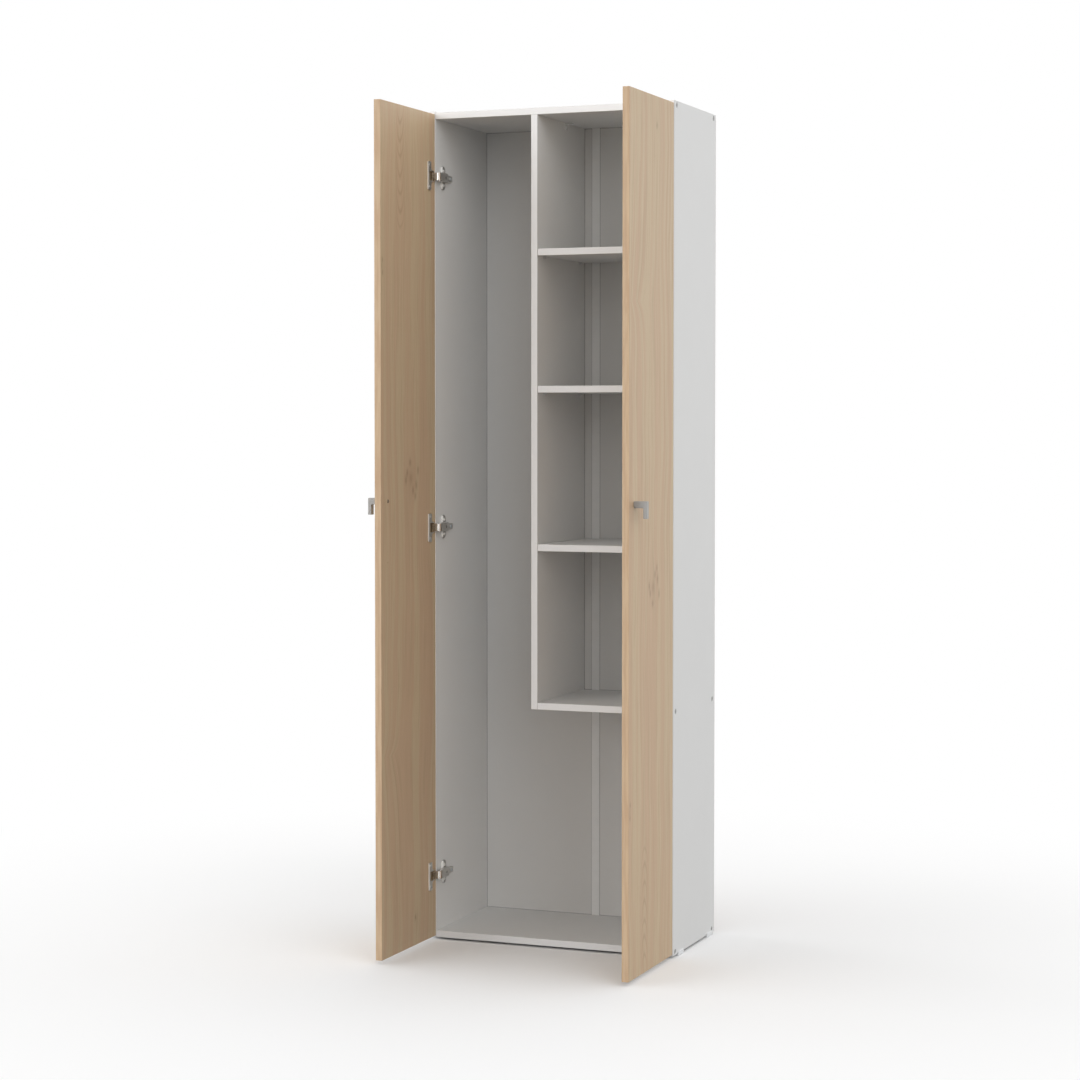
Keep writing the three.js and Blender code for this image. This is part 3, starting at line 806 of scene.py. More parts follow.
class Bench:
    """Makes, joins and finishes closed meshes. Its pieces are Blender objects at the origin."""

    @staticmethod
    def solid(name: str, points: Iterable[Point], faces: Iterable[Sequence[int]]) -> bpy.types.Object:
        """A closed mesh object with its faces turned out.

        Args:
            name: The object's name.
            points: Its vertices.
            faces: Its faces, as vertex numbers.

        Returns:
            The object, linked to the scene.
        """
        mesh = bpy.data.meshes.new(name)
        mesh.from_pydata([tuple(point) for point in points], [], [tuple(face) for face in faces])
        shape = bmesh.new()
        shape.from_mesh(mesh)
        bmesh.ops.recalc_face_normals(shape, faces=shape.faces)
        shape.to_mesh(mesh)
        shape.free()
        return linked(name, mesh)

    @classmethod
    def prism(
        cls, name: str, outline: Sequence[Point], axis: Axis, low: float, high: float
    ) -> bpy.types.Object:
        """An outline run out along an axis.

        Args:
            name: The object's name.
            outline: Its corners, on the two axes that follow the given one.
            axis: The axis that it runs along.
            low: Where it starts.
            high: Where it ends.

        Returns:
            The object.
        """
        count = len(outline)
        points = [axis.place(a, b, end) for end in (low, high) for a, b in outline]
        faces = [tuple(range(count)), tuple(range(count, 2 * count))]
        for i in range(count):
            after = (i + 1) % count
            faces.append((i, after, count + after, count + i))
        return cls.solid(name, points, faces)

    @classmethod
    def block(cls, name: str, low: Point, high: Point) -> bpy.types.Object:
        """A plain block between two corners, for joining and cutting."""
        outline = [(low[0], low[1]), (high[0], low[1]), (high[0], high[1]), (low[0], high[1])]
        return cls.prism(name, outline, Axis.Z, low[2], high[2])

    @classmethod
    def turned(
        cls, name: str, profile: Sequence[Point], axis: Axis, centre: Point, steps: int = 48
    ) -> bpy.types.Object:
        """A profile turned about an axis.

        Args:
            name: The object's name.
            profile: Radius and place along the axis; it starts and ends at radius 0.
            axis: The axis that it is turned about.
            centre: The point that the profile's places are measured from.
            steps: Faces round the piece.

        Returns:
            The object.
        """
        points: list[Vector] = []
        rings: list[list[int]] = []
        for radius, place in profile:
            count = steps if radius > 0 else 1
            first = len(points)
            for i in range(count):
                angle = 2 * math.pi * i / steps
                spot = axis.place(radius * math.cos(angle), radius * math.sin(angle), place)
                points.append(spot + Vector(centre))
            rings.append([first + i % count for i in range(steps)])
        faces = []
        for near, far in zip(rings, rings[1:]):
            for i in range(steps):
                after = (i + 1) % steps
                corners = [near[i], near[after], far[after], far[i]]
                faces.append(list(dict.fromkeys(corners)))
        return cls.solid(name, points, faces)

    @classmethod
    def rod(
        cls, name: str, radius: float, axis: Axis, centre: Point, low: float, high: float, steps: int = 48
    ) -> bpy.types.Object:
        """A round rod along an axis, for joining and cutting."""
        return cls.turned(name, [(0, low), (radius, low), (radius, high), (0, high)], axis, centre, steps)

    @staticmethod
    def freeze(piece: bpy.types.Object) -> bpy.types.Object:
        """Turns the piece's modifiers into plain mesh.

        Args:
            piece: The object.

        Returns:
            The same object, with no modifiers.
        """
        graph = bpy.context.evaluated_depsgraph_get()
        made = bpy.data.meshes.new_from_object(piece.evaluated_get(graph))
        old = piece.data
        piece.modifiers.clear()
        piece.data = made
        made.name = piece.name
        bpy.data.meshes.remove(old)
        return piece

    @classmethod
    def combine(cls, piece: bpy.types.Object, tool: bpy.types.Object, cut: Cut) -> bpy.types.Object:
        """Joins or cuts a piece with a tool, which is used up.

        Args:
            piece: The piece that is changed.
            tool: The other piece.
            cut: What is done.

        Returns:
            The changed piece.
        """
        modifier = piece.modifiers.new("cut", "BOOLEAN")
        modifier.operation = cut.value
        modifier.solver = "EXACT"
        modifier.object = tool
        cls.freeze(piece)
        cls.scrap(tool)
        return piece

    @staticmethod
    def scrap(piece: bpy.types.Object) -> None:
        """Deletes an object and its mesh."""
        mesh = piece.data
        bpy.data.objects.remove(piece)
        bpy.data.meshes.remove(mesh)

    @staticmethod
    def clean(piece: bpy.types.Object, gap: float, flat: float = 0.4) -> bpy.types.Object:
        """Merges doubles and dissolves the needless edges of a piece.

        Args:
            piece: The piece that is changed.
            gap: How near two vertices are one.
            flat: Edges that turn less than this go, in degrees.

        Returns:
            The same object.
        """
        shape = bmesh.new()
        shape.from_mesh(piece.data)
        bmesh.ops.remove_doubles(shape, verts=shape.verts, dist=gap)
        bmesh.ops.dissolve_degenerate(shape, dist=gap, edges=shape.edges)
        angle = math.radians(flat)
        bmesh.ops.dissolve_limit(shape, angle_limit=angle, verts=shape.verts, edges=shape.edges)
        shape.to_mesh(piece.data)
        shape.free()
        return piece

    @staticmethod
    def bevel(piece: bpy.types.Object, width: float, segments: int = 2, angle: float = 30.0) -> None:
        """Gives a piece a modifier that rounds its sharp edges.

        Args:
            piece: The piece that is changed.
            width: The rounding's width, in the piece's own unit.
            segments: Faces across the rounding.
            angle: Edges that turn more than this are rounded, in degrees.
        """
        modifier = piece.modifiers.new("eased_edges", "BEVEL")
        modifier.width = width
        modifier.segments = segments
        modifier.limit_method = "ANGLE"
        modifier.angle_limit = math.radians(angle)
        modifier.use_clamp_overlap = True

    @classmethod
    def ease(
        cls, piece: bpy.types.Object, width: float, segments: int, angle: float = 30.0
    ) -> bpy.types.Object:
        """Rounds a piece's sharp edges, as bevel does, and keeps the result as plain mesh."""
        cls.bevel(piece, width, segments, angle)
        return cls.freeze(piece)

    @classmethod
    def from_node(cls, name: str, node: str) -> bpy.types.Object:
        """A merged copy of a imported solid.

        Args:
            name: The copy's name.
            node: The solid's node name.

        Returns:
            The copy.
        """
        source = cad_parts[node].data
        points = [vertex.co.copy() for vertex in source.vertices]
        faces = [tuple(polygon.vertices) for polygon in source.polygons]
        mesh = bpy.data.meshes.new(name)
        mesh.from_pydata(points, [], faces)
        return cls.clean(linked(name, mesh), 0.002 * MM)

    @staticmethod
    def placed(template: bpy.types.Object, name: str, matrix: Matrix) -> bpy.types.Object:
        """A copy of a template, moved by a matrix, with its place in its mesh.

        Args:
            template: The piece that is copied.
            name: The copy's name.
            matrix: Where it goes; it may mirror.

        Returns:
            The copy.
        """
        mesh = template.data.copy()
        mesh.name = name
        mesh.transform(matrix)
        if matrix.determinant() < 0:
            mesh.flip_normals()
        return linked(name, mesh)

    @staticmethod
    def dress(piece: bpy.types.Object, finish: Finish) -> None:
        """Gives a piece its finish, and smooth shading that flat faces keep flat."""
        mesh = piece.data
        mesh.materials.clear()
        mesh.materials.append(finish.material())
        mesh.shade_smooth()
        mesh.set_sharp_from_angle(angle=math.radians(SHARP_ANGLE))
        normals = piece.modifiers.new("even_shading", "WEIGHTED_NORMAL")
        normals.keep_sharp = True
        normals.weight = FACE_WEIGHT


def fit(piece: bpy.types.Object, body: str, finish: Finish, *nodes: str) -> None:
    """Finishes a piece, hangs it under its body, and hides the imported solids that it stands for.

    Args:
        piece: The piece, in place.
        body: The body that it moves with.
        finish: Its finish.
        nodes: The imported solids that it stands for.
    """
    Bench.dress(piece, finish)
    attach(piece, body)
    if nodes:
        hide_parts(*nodes)
    log.info("%s on %s, %d faces", piece.name, body, len(piece.data.polygons))


def centre(node: str) -> Vector:
    """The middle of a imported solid's box."""
    low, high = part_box(node)
    return (low + high) / 2


@dataclass(frozen=True)
class Station:
    """Where a fitting stands: its hand, and its height on the side board.

    Its frame has X in from the side's inner face, Y back from the side's front edge and Z up from the
    station's height, in millimetres.
    """

    hand: Hand
    height: float

    def matrix(self) -> Matrix:
        """The fitting frame's place in the row frame."""
        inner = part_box("side_right")[0].x
        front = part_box("side_left")[0].y
        corner = Matrix.Translation((self.hand.value * inner, front, self.height))
        scale = Matrix.Diagonal((-self.hand.value * MM, MM, MM, 1.0))
        return corner @ scale

    def point(self, place: Point) -> Vector:
        """A point of the fitting frame in the row frame."""
        return self.matrix() @ Vector(place)

    def facing(self, direction: Point) -> Vector:
        """A direction of the fitting frame in the row frame."""
        return (self.matrix().to_3x3() @ Vector(direction)).normalized()


@dataclass(frozen=True)
class Seat:
    """A screw's seat: the point where its head's underside lies, and the way that it faces."""

    place: Vector
    facing: Vector


@dataclass(frozen=True)
class Head:
    """A screw's head in millimetres: its radius, its rise over the seat, its sink and its recess."""

    radius: float
    rise: float
    sink: float
    drive: Drive = Drive.NONE
    drive_width: float = 0.0
    drive_depth: float = 0.0


@dataclass
class ScrewRow:
    """Screws of one kind on one body, made as one Geometry Nodes object and kept as plain mesh."""

    name: str
    body: str
    finish: Finish
    head: Head
    seats: list[Seat]
    seed: int = 7
    sides: int = 28
    rings: int = 4
    slot_share: float = 0.24
    dome_share: float = 0.75

    def _points(self) -> bpy.types.Object:
        """The seats as loose vertices that carry the way they face."""
        mesh = bpy.data.meshes.new(self.name)
        mesh.from_pydata([tuple(seat.place) for seat in self.seats], [], [])
        facing = mesh.attributes.new("facing", "FLOAT_VECTOR", "POINT")
        facing.data.foreach_set("vector", [part for seat in self.seats for part in seat.facing])
        return linked(self.name, mesh)

    def _inputs(self, tree: bpy.types.NodeTree) -> dict[str, str]:
        """Gives the tree its named inputs.

        Args:
            tree: The new tree.

        Returns:
            The identifier of each input by its name.
        """
        tree.interface.new_socket("Geometry", in_out="OUTPUT", socket_type="NodeSocketGeometry")
        kinds = {"Geometry": "NodeSocketGeometry"}
        kinds |= dict.fromkeys(("Radius", "Rise", "Sink", "Drive width", "Drive depth"), "NodeSocketFloat")
        kinds |= {"Seed": "NodeSocketInt", "Finish": "NodeSocketMaterial"}
        made = {}
        for name, kind in kinds.items():
            socket = tree.interface.new_socket(name, in_out="INPUT", socket_type=kind)
            made[name] = socket.identifier
        return made

    def _recess(self, graph: Graph, given: dict[str, Wire]) -> Wire:
        """The solid that the driver's recess is cut with."""
        deep = given["Drive depth"] * 2.0
        if self.head.drive is Drive.HEX:
            inputs = {"Vertices": 6, "Radius": given["Drive width"] / 2.0, "Depth": deep}
            return graph.node("GeometryNodeMeshCylinder", {}, inputs)
        slot = given["Drive width"] * self.slot_share
        bars = []
        for size in ((given["Drive width"], slot), (slot, given["Drive width"])):
            inputs = {"Size": graph.join(size[0], size[1], deep)}
            bars.append(graph.node("GeometryNodeMeshCube", {}, inputs))
        settings = {"operation": "UNION", "solver": "MANIFOLD"}
        union = graph.node("GeometryNodeMeshBoolean", settings, {1: bars[0]})
        graph.tree.links.new(bars[1].socket, union.socket.node.inputs[1])
        return union

    def _head(self, graph: Graph, given: dict[str, Wire]) -> Wire:
        """One domed head about the origin, facing +Z, with its recess."""
        tall = given["Rise"] + given["Sink"]
        inputs = {
            "Vertices": self.sides,
            "Side Segments": 1,
            "Fill Segments": self.rings,
            "Radius": given["Radius"],
            "Depth": tall,
        }
        disc = graph.node("GeometryNodeMeshCylinder", {"fill_type": "TRIANGLE_FAN"}, inputs)
        place = graph.node("GeometryNodeInputPosition")
        x, y, z = graph.split(place)
        out = (x * x + y * y) / (given["Radius"] * given["Radius"])
        drop = out * given["Rise"] * self.dome_share * (z > 0.0)
        shift = graph.join(0.0, 0.0, tall / 2.0 - given["Sink"] - drop)
        head = graph.node("GeometryNodeSetPosition", {}, {"Geometry": disc, "Offset": shift})
        if self.head.drive is Drive.NONE:
            return head
        lift = graph.join(0.0, 0.0, given["Rise"])
        moved = {"Geometry": self._recess(graph, given), "Translation": lift}
        tool = graph.node("GeometryNodeTransform", {}, moved)
        cut = {"operation": "DIFFERENCE", "solver": "MANIFOLD"}
        return graph.node("GeometryNodeMeshBoolean", cut, {0: head, 1: tool})

    def _tree(self) -> tuple[bpy.types.NodeTree, dict[str, str]]:
        """The tree that sets a head on every seat, with its inputs' identifiers."""
        tree = bpy.data.node_groups.new(self.name + "_heads", "GeometryNodeTree")
        identifiers = self._inputs(tree)
        graph = Graph(tree)
        first = graph.node("NodeGroupInput")
        given = {name: Wire(graph, first.socket.node.outputs[name]) for name in identifiers}
        head = self._head(graph, given)
        vector = {"data_type": "FLOAT_VECTOR"}
        facing = graph.node("GeometryNodeInputNamedAttribute", vector, {"Name": "facing"})
        aimed = graph.node("FunctionNodeAlignRotationToVector", {"axis": "Z"}, {"Vector": facing})
        limits = {"Max": (0.0, 0.0, 2 * math.pi), "Seed": given["Seed"]}
        angles = graph.node("FunctionNodeRandomValue", vector, limits)
        turn = graph.node("FunctionNodeEulerToRotation", {}, {0: angles})
        turned = graph.node(
            "FunctionNodeRotateRotation", {"rotation_space": "LOCAL"}, {"Rotation": aimed, "Rotate By": turn}
        )
        inputs = {"Points": given["Geometry"], "Instance": head, "Rotation": turned}
        heads = graph.node("GeometryNodeInstanceOnPoints", {}, inputs)
        real = graph.node("GeometryNodeRealizeInstances", {}, {0: heads})
        coated = graph.node("GeometryNodeSetMaterial", {}, {"Geometry": real, "Material": given["Finish"]})
        graph.node("NodeGroupOutput", {}, {0: coated})
        return tree, identifiers

    def build(self) -> bpy.types.Object:
        """Makes the row of screws and fits it to its body.

        Returns:
            The finished piece.
        """
        piece = self._points()
        tree, identifiers = self._tree()
        modifier = piece.modifiers.new("heads", "NODES")
        modifier.node_group = tree
        values = {
            "Radius": self.head.radius * MM,
            "Rise": self.head.rise * MM,
            "Sink": self.head.sink * MM,
            "Drive width": self.head.drive_width * MM,
            "Drive depth": self.head.drive_depth * MM,
            "Seed": self.seed,
            "Finish": self.finish.material(),
        }
        for name, value in values.items():
            modifier[identifiers[name]] = value
        Bench.freeze(piece)
        fit(piece, self.body, self.finish)
        return piece


@dataclass
class Carcass:
    """The white boards, the backs and their strip, the shelves, pins, bracket and glides."""

    recess_radius: float = 6.2 * MM
    recess_depth: float = 1.3 * MM
    front_screw: float = 17 * MM
    rear_screw: float = 277 * MM
    nail_pitch: float = 0.14
    nail_inset: float = 8.5 * MM
    pin_radius: float = 2.5 * MM
    pin_chamfer: float = 0.5 * MM
    pin_lead: float = 0.13 * MM
    bracket_thick: float = 1.5 * MM
    bracket_screw_up: float = 7 * MM
    bracket_screw_out: float = 6 * MM
    bracket_ease: float = 0.6 * MM
    strip_ease: float = 0.2 * MM
    glide_ease: float = 0.3 * MM
    confirmat_head: Head = Head(5.6, 0.8, 0.1, Drive.HEX, 4.2, 0.7)
    nail_head: Head = Head(1.3, 0.45, 0.05)
    bracket_head: Head = Head(3.1, 1.2, 0.1, Drive.CROSS, 3.4, 0.9)
    body: str = "carcass"

    def __post_init__(self) -> None:
        """Reads the front and rear planes and chooses the finishes."""
        self.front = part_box("side_left")[0].y
        self.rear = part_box("back_panel_left")[1].y
        self.white = Melamine("white_melamine", Slot.WHITE, front=self.front)
        self.hardboard = self.paint()
        self.strip = Plastic("white_strip_plastic", Slot.BACK, colour=tint(233, 233, 232))
        self.pin = Metal("pin_steel", Slot.PIN, colour=tint(188, 187, 184), roughness=0.24)
        self.bracket = Metal("bracket_nickel", Slot.NICKEL, tint(250, 249, 247), metallic=0.5, roughness=0.2)
        self.confirmat = Metal("confirmat_steel", Slot.SCREW, colour=tint(152, 151, 149), roughness=0.42)
        self.nail = Metal("nail_steel", Slot.SCREW, colour=tint(120, 118, 114), roughness=0.4)
        self.glide = Plastic("glide_plastic", Slot.GLIDE, colour=tint(184, 185, 185))

    def paint(self) -> Hardboard:
        """The backs' finish, with painted shadow lines where the boards and the strip meet it."""
        shelf, divider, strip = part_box("fixed_shelf"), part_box("divider"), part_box("back_joining_strip")
        outer = (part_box("side_left")[1].x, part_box("side_right")[0].x, strip[0].x, strip[1].x)
        seams = [(x, 0.0) for x in outer]
        seams += [(x, shelf[0].z) for x in (divider[0].x, divider[1].x)]
        ledges = [(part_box("top_panel")[0].z, outer[0]), (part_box("base_panel")[1].z, outer[0])]
        ledges += [(z, divider[1].x) for z in (shelf[0].z, shelf[1].z)]
        return Hardboard(
            "painted_hardboard", Slot.BACK, rear=self.rear, seams=tuple(seams), ledges=tuple(ledges)
        )

    def board(self, node: str, seats: Sequence[Seat] = ()) -> None:
        """One board: a merged copy of its solid, with recesses for the screws that pass it.

        Args:
            node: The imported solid's name.
            seats: The screw seats in its faces.
        """
        piece = Bench.from_node(node + "_board", node)
        deep = self.recess_depth
        for seat in seats:
            tool = Bench.rod("recess", self.recess_radius, Axis.Z, (0, 0, 0), -deep, deep, 32)
            turn = Vector((0, 0, 1)).rotation_difference(seat.facing).to_matrix().to_4x4()
            tool.data.transform(Matrix.Translation(seat.place + seat.facing * deep) @ turn)
            Bench.combine(piece, tool, Cut.TAKE)
        Bench.bevel(piece, BOARD_EASE)
        fit(piece, self.body, self.white, node)

    def seats(self, face: float, facing: int, heights: Sequence[float]) -> list[Seat]:
        """Front and rear screw seats in an upright face.

        Args:
            face: The face's X.
            facing: The sign of X that it looks along.
            heights: The boards' middles behind it.

        Returns:
            The seats, at the bottom of their recesses.
        """
        made = []
        for height in heights:
            for back in (self.front_screw, self.rear_screw):
                place = Vector((face - facing * self.recess_depth, self.front + back, height))
                made.append(Seat(place, Vector((facing, 0, 0))))
        return made

    def build_boards(self) -> None:
        """The sides, top, base, divider, fixed shelf and loose shelves, and their long screws."""
        levels = [centre("top_panel").z, centre("base_panel").z]
        shelf = centre("fixed_shelf").z
        left = self.seats(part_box("side_left")[0].x, -1, levels)
        right = self.seats(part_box("side_right")[1].x, 1, [*levels, shelf])
        inner = self.seats(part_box("divider")[0].x, -1, [shelf])
        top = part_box("top_panel")[1].z - self.recess_depth
        over = [
            Seat(Vector((centre("divider").x, self.front + back, top)), Vector((0, 0, 1)))
            for back in (self.front_screw, self.rear_screw)
        ]
        self.board("side_left", left)
        self.board("side_right", right)
        self.board("divider", inner)
        self.board("top_panel", over)
        for node in ("base_panel", "fixed_shelf", "shelf_1", "shelf_2", "shelf_3"):
            self.board(node)
        seats = left + right + inner + over
        ScrewRow("confirmat_heads", self.body, self.confirmat, self.confirmat_head, seats).build()

    def build_backs(self) -> None:
        """The two backs, the strip that joins them, and the nails that hold them."""
        for hand in Hand:
            node = "back_panel_" + hand.word
            fit(Bench.from_node(node + "_sheet", node), self.body, self.hardboard, node)
        strip = Bench.from_node("back_strip", "back_joining_strip")
        fit(Bench.ease(strip, self.strip_ease, 2), self.body, self.strip, "back_joining_strip")
        ScrewRow(
            "back_nails", self.body, self.nail, self.nail_head, self.nail_seats(), sides=14, rings=2
        ).build()

    def nail_seats(self) -> list[Seat]:
        """Nail places round the backs, up the divider and along the fixed shelf, on the rear face."""
        low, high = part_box("side_left")[0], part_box("side_right")[1]
        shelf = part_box("fixed_shelf")
        inset = self.nail_inset
        places = []
        tall = high.z - low.z - 2 * inset
        steps = math.ceil(tall / self.nail_pitch)
        for i in range(steps + 1):
            level = low.z + inset + tall * i / steps
            places += [(low.x + inset, level), (high.x - inset, level)]
            if level > centre("fixed_shelf").z:
                places.append((centre("divider").x, level))
        wide = high.x - low.x - 2 * inset
        steps = math.ceil(wide / self.nail_pitch)
        for i in range(1, steps):
            spot = low.x + inset + wide * i / steps
            places += [(spot, centre(board).z) for board in ("top_panel", "base_panel")]
        for share in (0.25, 0.5, 0.75):
            places.append((shelf[0].x + (shelf[1].x - shelf[0].x) * share, centre("fixed_shelf").z))
        return [Seat(Vector((x, self.rear, z)), Vector((0, 1, 0))) for x, z in places]

    def build_pins(self) -> None:
        """The shelf pins: straight steel pins with eased ends."""
        edge, radius = self.pin_chamfer, self.pin_radius
        for node in sorted(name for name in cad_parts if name.startswith("shelf_pin_")):
            low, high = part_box(node)
            half = (high.x - low.x) / 2
            end = [(0, half), (radius - edge, half), (radius - self.pin_lead, half - edge * 0.3)]
            end.append((radius, half - edge))
            profile = [(out, -place) for out, place in end] + end[::-1]
            piece = Bench.turned(node + "_steel", profile, Axis.X, centre(node), 32)
            fit(piece, self.body, self.pin, node)

    def build_fittings(self) -> None:
        """The corner bracket with its screws, and the four floor glides."""
        bracket = Bench.from_node("bracket_plate", "corner_bracket")
        fit(Bench.ease(bracket, self.bracket_ease, 4), self.body, self.bracket, "corner_bracket")
        low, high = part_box("corner_bracket")
        thick, y = self.bracket_thick, centre("corner_bracket").y
        side = Seat(Vector((low.x + thick, y, low.z + self.bracket_screw_up)), Vector((1, 0, 0)))
        under = Seat(Vector((high.x - self.bracket_screw_out, y, high.z - thick)), Vector((0, 0, -1)))
        seats = [side, under]
        ScrewRow("bracket_screws", self.body, self.bracket, self.bracket_head, seats, seed=3).build()
        for hand in Hand:
            for row in ("front", "rear"):
                node = f"glide_{hand.word}_{row}"
                glide = Bench.from_node(node + "_clip", node)
                fit(Bench.ease(glide, self.glide_ease, 2), self.body, self.glide, node)

    def build(self) -> None:
        """Builds all of the carcass."""
        self.build_boards()
        self.build_backs()
        self.build_pins()
        self.build_fittings()


@dataclass
class Door:
    """One door board in oak look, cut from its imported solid."""

    hand: Hand

    @property
    def body(self) -> str:
        """The body that the door is."""
        return self.hand.word + "_door"

    def finish(self) -> Oak:
        """The door's laminate: the figure runs down the right door and up the left one."""
        low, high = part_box("door_" + self.hand.word)
        downward = self.hand is Hand.RIGHT
        return Oak(
            "oak_" + self.hand.word,
            Slot.OAK,
            free_edge=low.y,
            start=high.z if downward else low.z,
            sign=-1.0 if downward else 1.0,
            width=(high.y - low.y) / MM,
            length=(high.z - low.z) / MM,
        )

    def build(self) -> None:
        """Makes the board and fits it to its body."""
        node = "door_" + self.hand.word
        piece = Bench.from_node(node + "_board", node)
        Bench.bevel(piece, BOARD_EASE)
        fit(piece, self.body, self.finish(), node)


@dataclass
class Handle:
    """The small L-shaped handles and the screws that hold them, in the fitting frame."""

    board: float = 15.0
    reach: float = 29.0
    width: float = 13.0
    post: float = 14.0
    leg: float = 36.0
    leg_thick: float = 8.0
    fillet: float = 2.0
    root_ease: float = 3.2
    ease: float = 1.0
    shank: float = 2.0
    shank_tip: float = 1.6
    shank_lead: float = 0.8
    shank_depth: float = 8.8
    head_radius: float = 4.2
    head_rise: float = 2.1
    head_rim: float = 0.25
    cross: float = 4.4
    cross_slot: float = 1.0
    cross_depth: float = 1.3

    def __post_init__(self) -> None:
        """Chooses the finishes."""
        self.metal = Metal(
            "satin_grey_metal", Slot.HANDLE, tint(161, 159, 156), metallic=0.15, roughness=0.45
        )
        self.steel = Metal("handle_screw_steel", Slot.SCREW, tint(136, 120, 102), metallic=0.5, roughness=0.4)

    def hook(self) -> bpy.types.Object:
        """The handle's hook, with its middle at the origin and the door's inner face at X 0."""
        top = self.leg / 2
        under = top - self.post
        root = -self.board
        tip = root - self.reach
        face = tip + self.leg_thick
        outline = [(root - self.root_ease, under), (root, under + self.root_ease * 1.6), (root, top)]
        outline += [(tip, top), (tip, -self.leg / 2), (face, -self.leg / 2)]
        outline += arc(face + self.fillet, under - self.fillet, self.fillet, 180, 90, 10)
        flat = [(z, x) for x, z in outline]
        made = Bench.prism("handle_template", flat, Axis.Y, -self.width / 2, self.width / 2)
        return Bench.ease(made, self.ease, 4, 40.0)

    def screw(self) -> bpy.types.Object:
        """The handle's screw: a domed head on the door's inner face, a shank and a cross recess."""
        tip = -self.board - self.shank_depth
        profile = [(0, tip), (self.shank_tip, tip), (self.shank, tip + self.shank_lead), (self.shank, 0)]
        profile.append((self.head_radius, 0))
        dome = self.head_rise - self.head_rim
        for out, up in arc(0, 0, 1, 15, 75, 4):
            profile.append((self.head_radius * out, self.head_rim + dome * up))
        profile.append((0, self.head_rise))
        made = Bench.turned("screw", profile, Axis.X, (0, 0, 0), 40)
        for wide, tall in ((self.cross, self.cross_slot), (self.cross_slot, self.cross)):
            low = (self.head_rise - self.cross_depth, -wide / 2, -tall / 2)
            bar = Bench.block("bar", low, (self.head_rise + 1, wide / 2, tall / 2))
            Bench.combine(made, bar, Cut.TAKE)
        return made

    def build(self) -> None:
        """Makes the hook and the screw once, and sets them at both doors."""
        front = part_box("side_left")[0].y
        kinds = (
            (self.hook(), "handle_", "_hook", self.metal),
            (self.screw(), "handle_screw_", "_steel", self.steel),
        )
        for hand in Hand:
            for template, prefix, suffix, metal in kinds:
                node = prefix + hand.word
                middle = centre(node)
                across = Matrix.Translation((0, (middle.y - front) / MM, 0))
                place = Station(hand, middle.z).matrix() @ across
                fit(Bench.placed(template, node + suffix, place), hand.word + "_door", metal, node)
        for template, *_ in kinds:
            Bench.scrap(template)


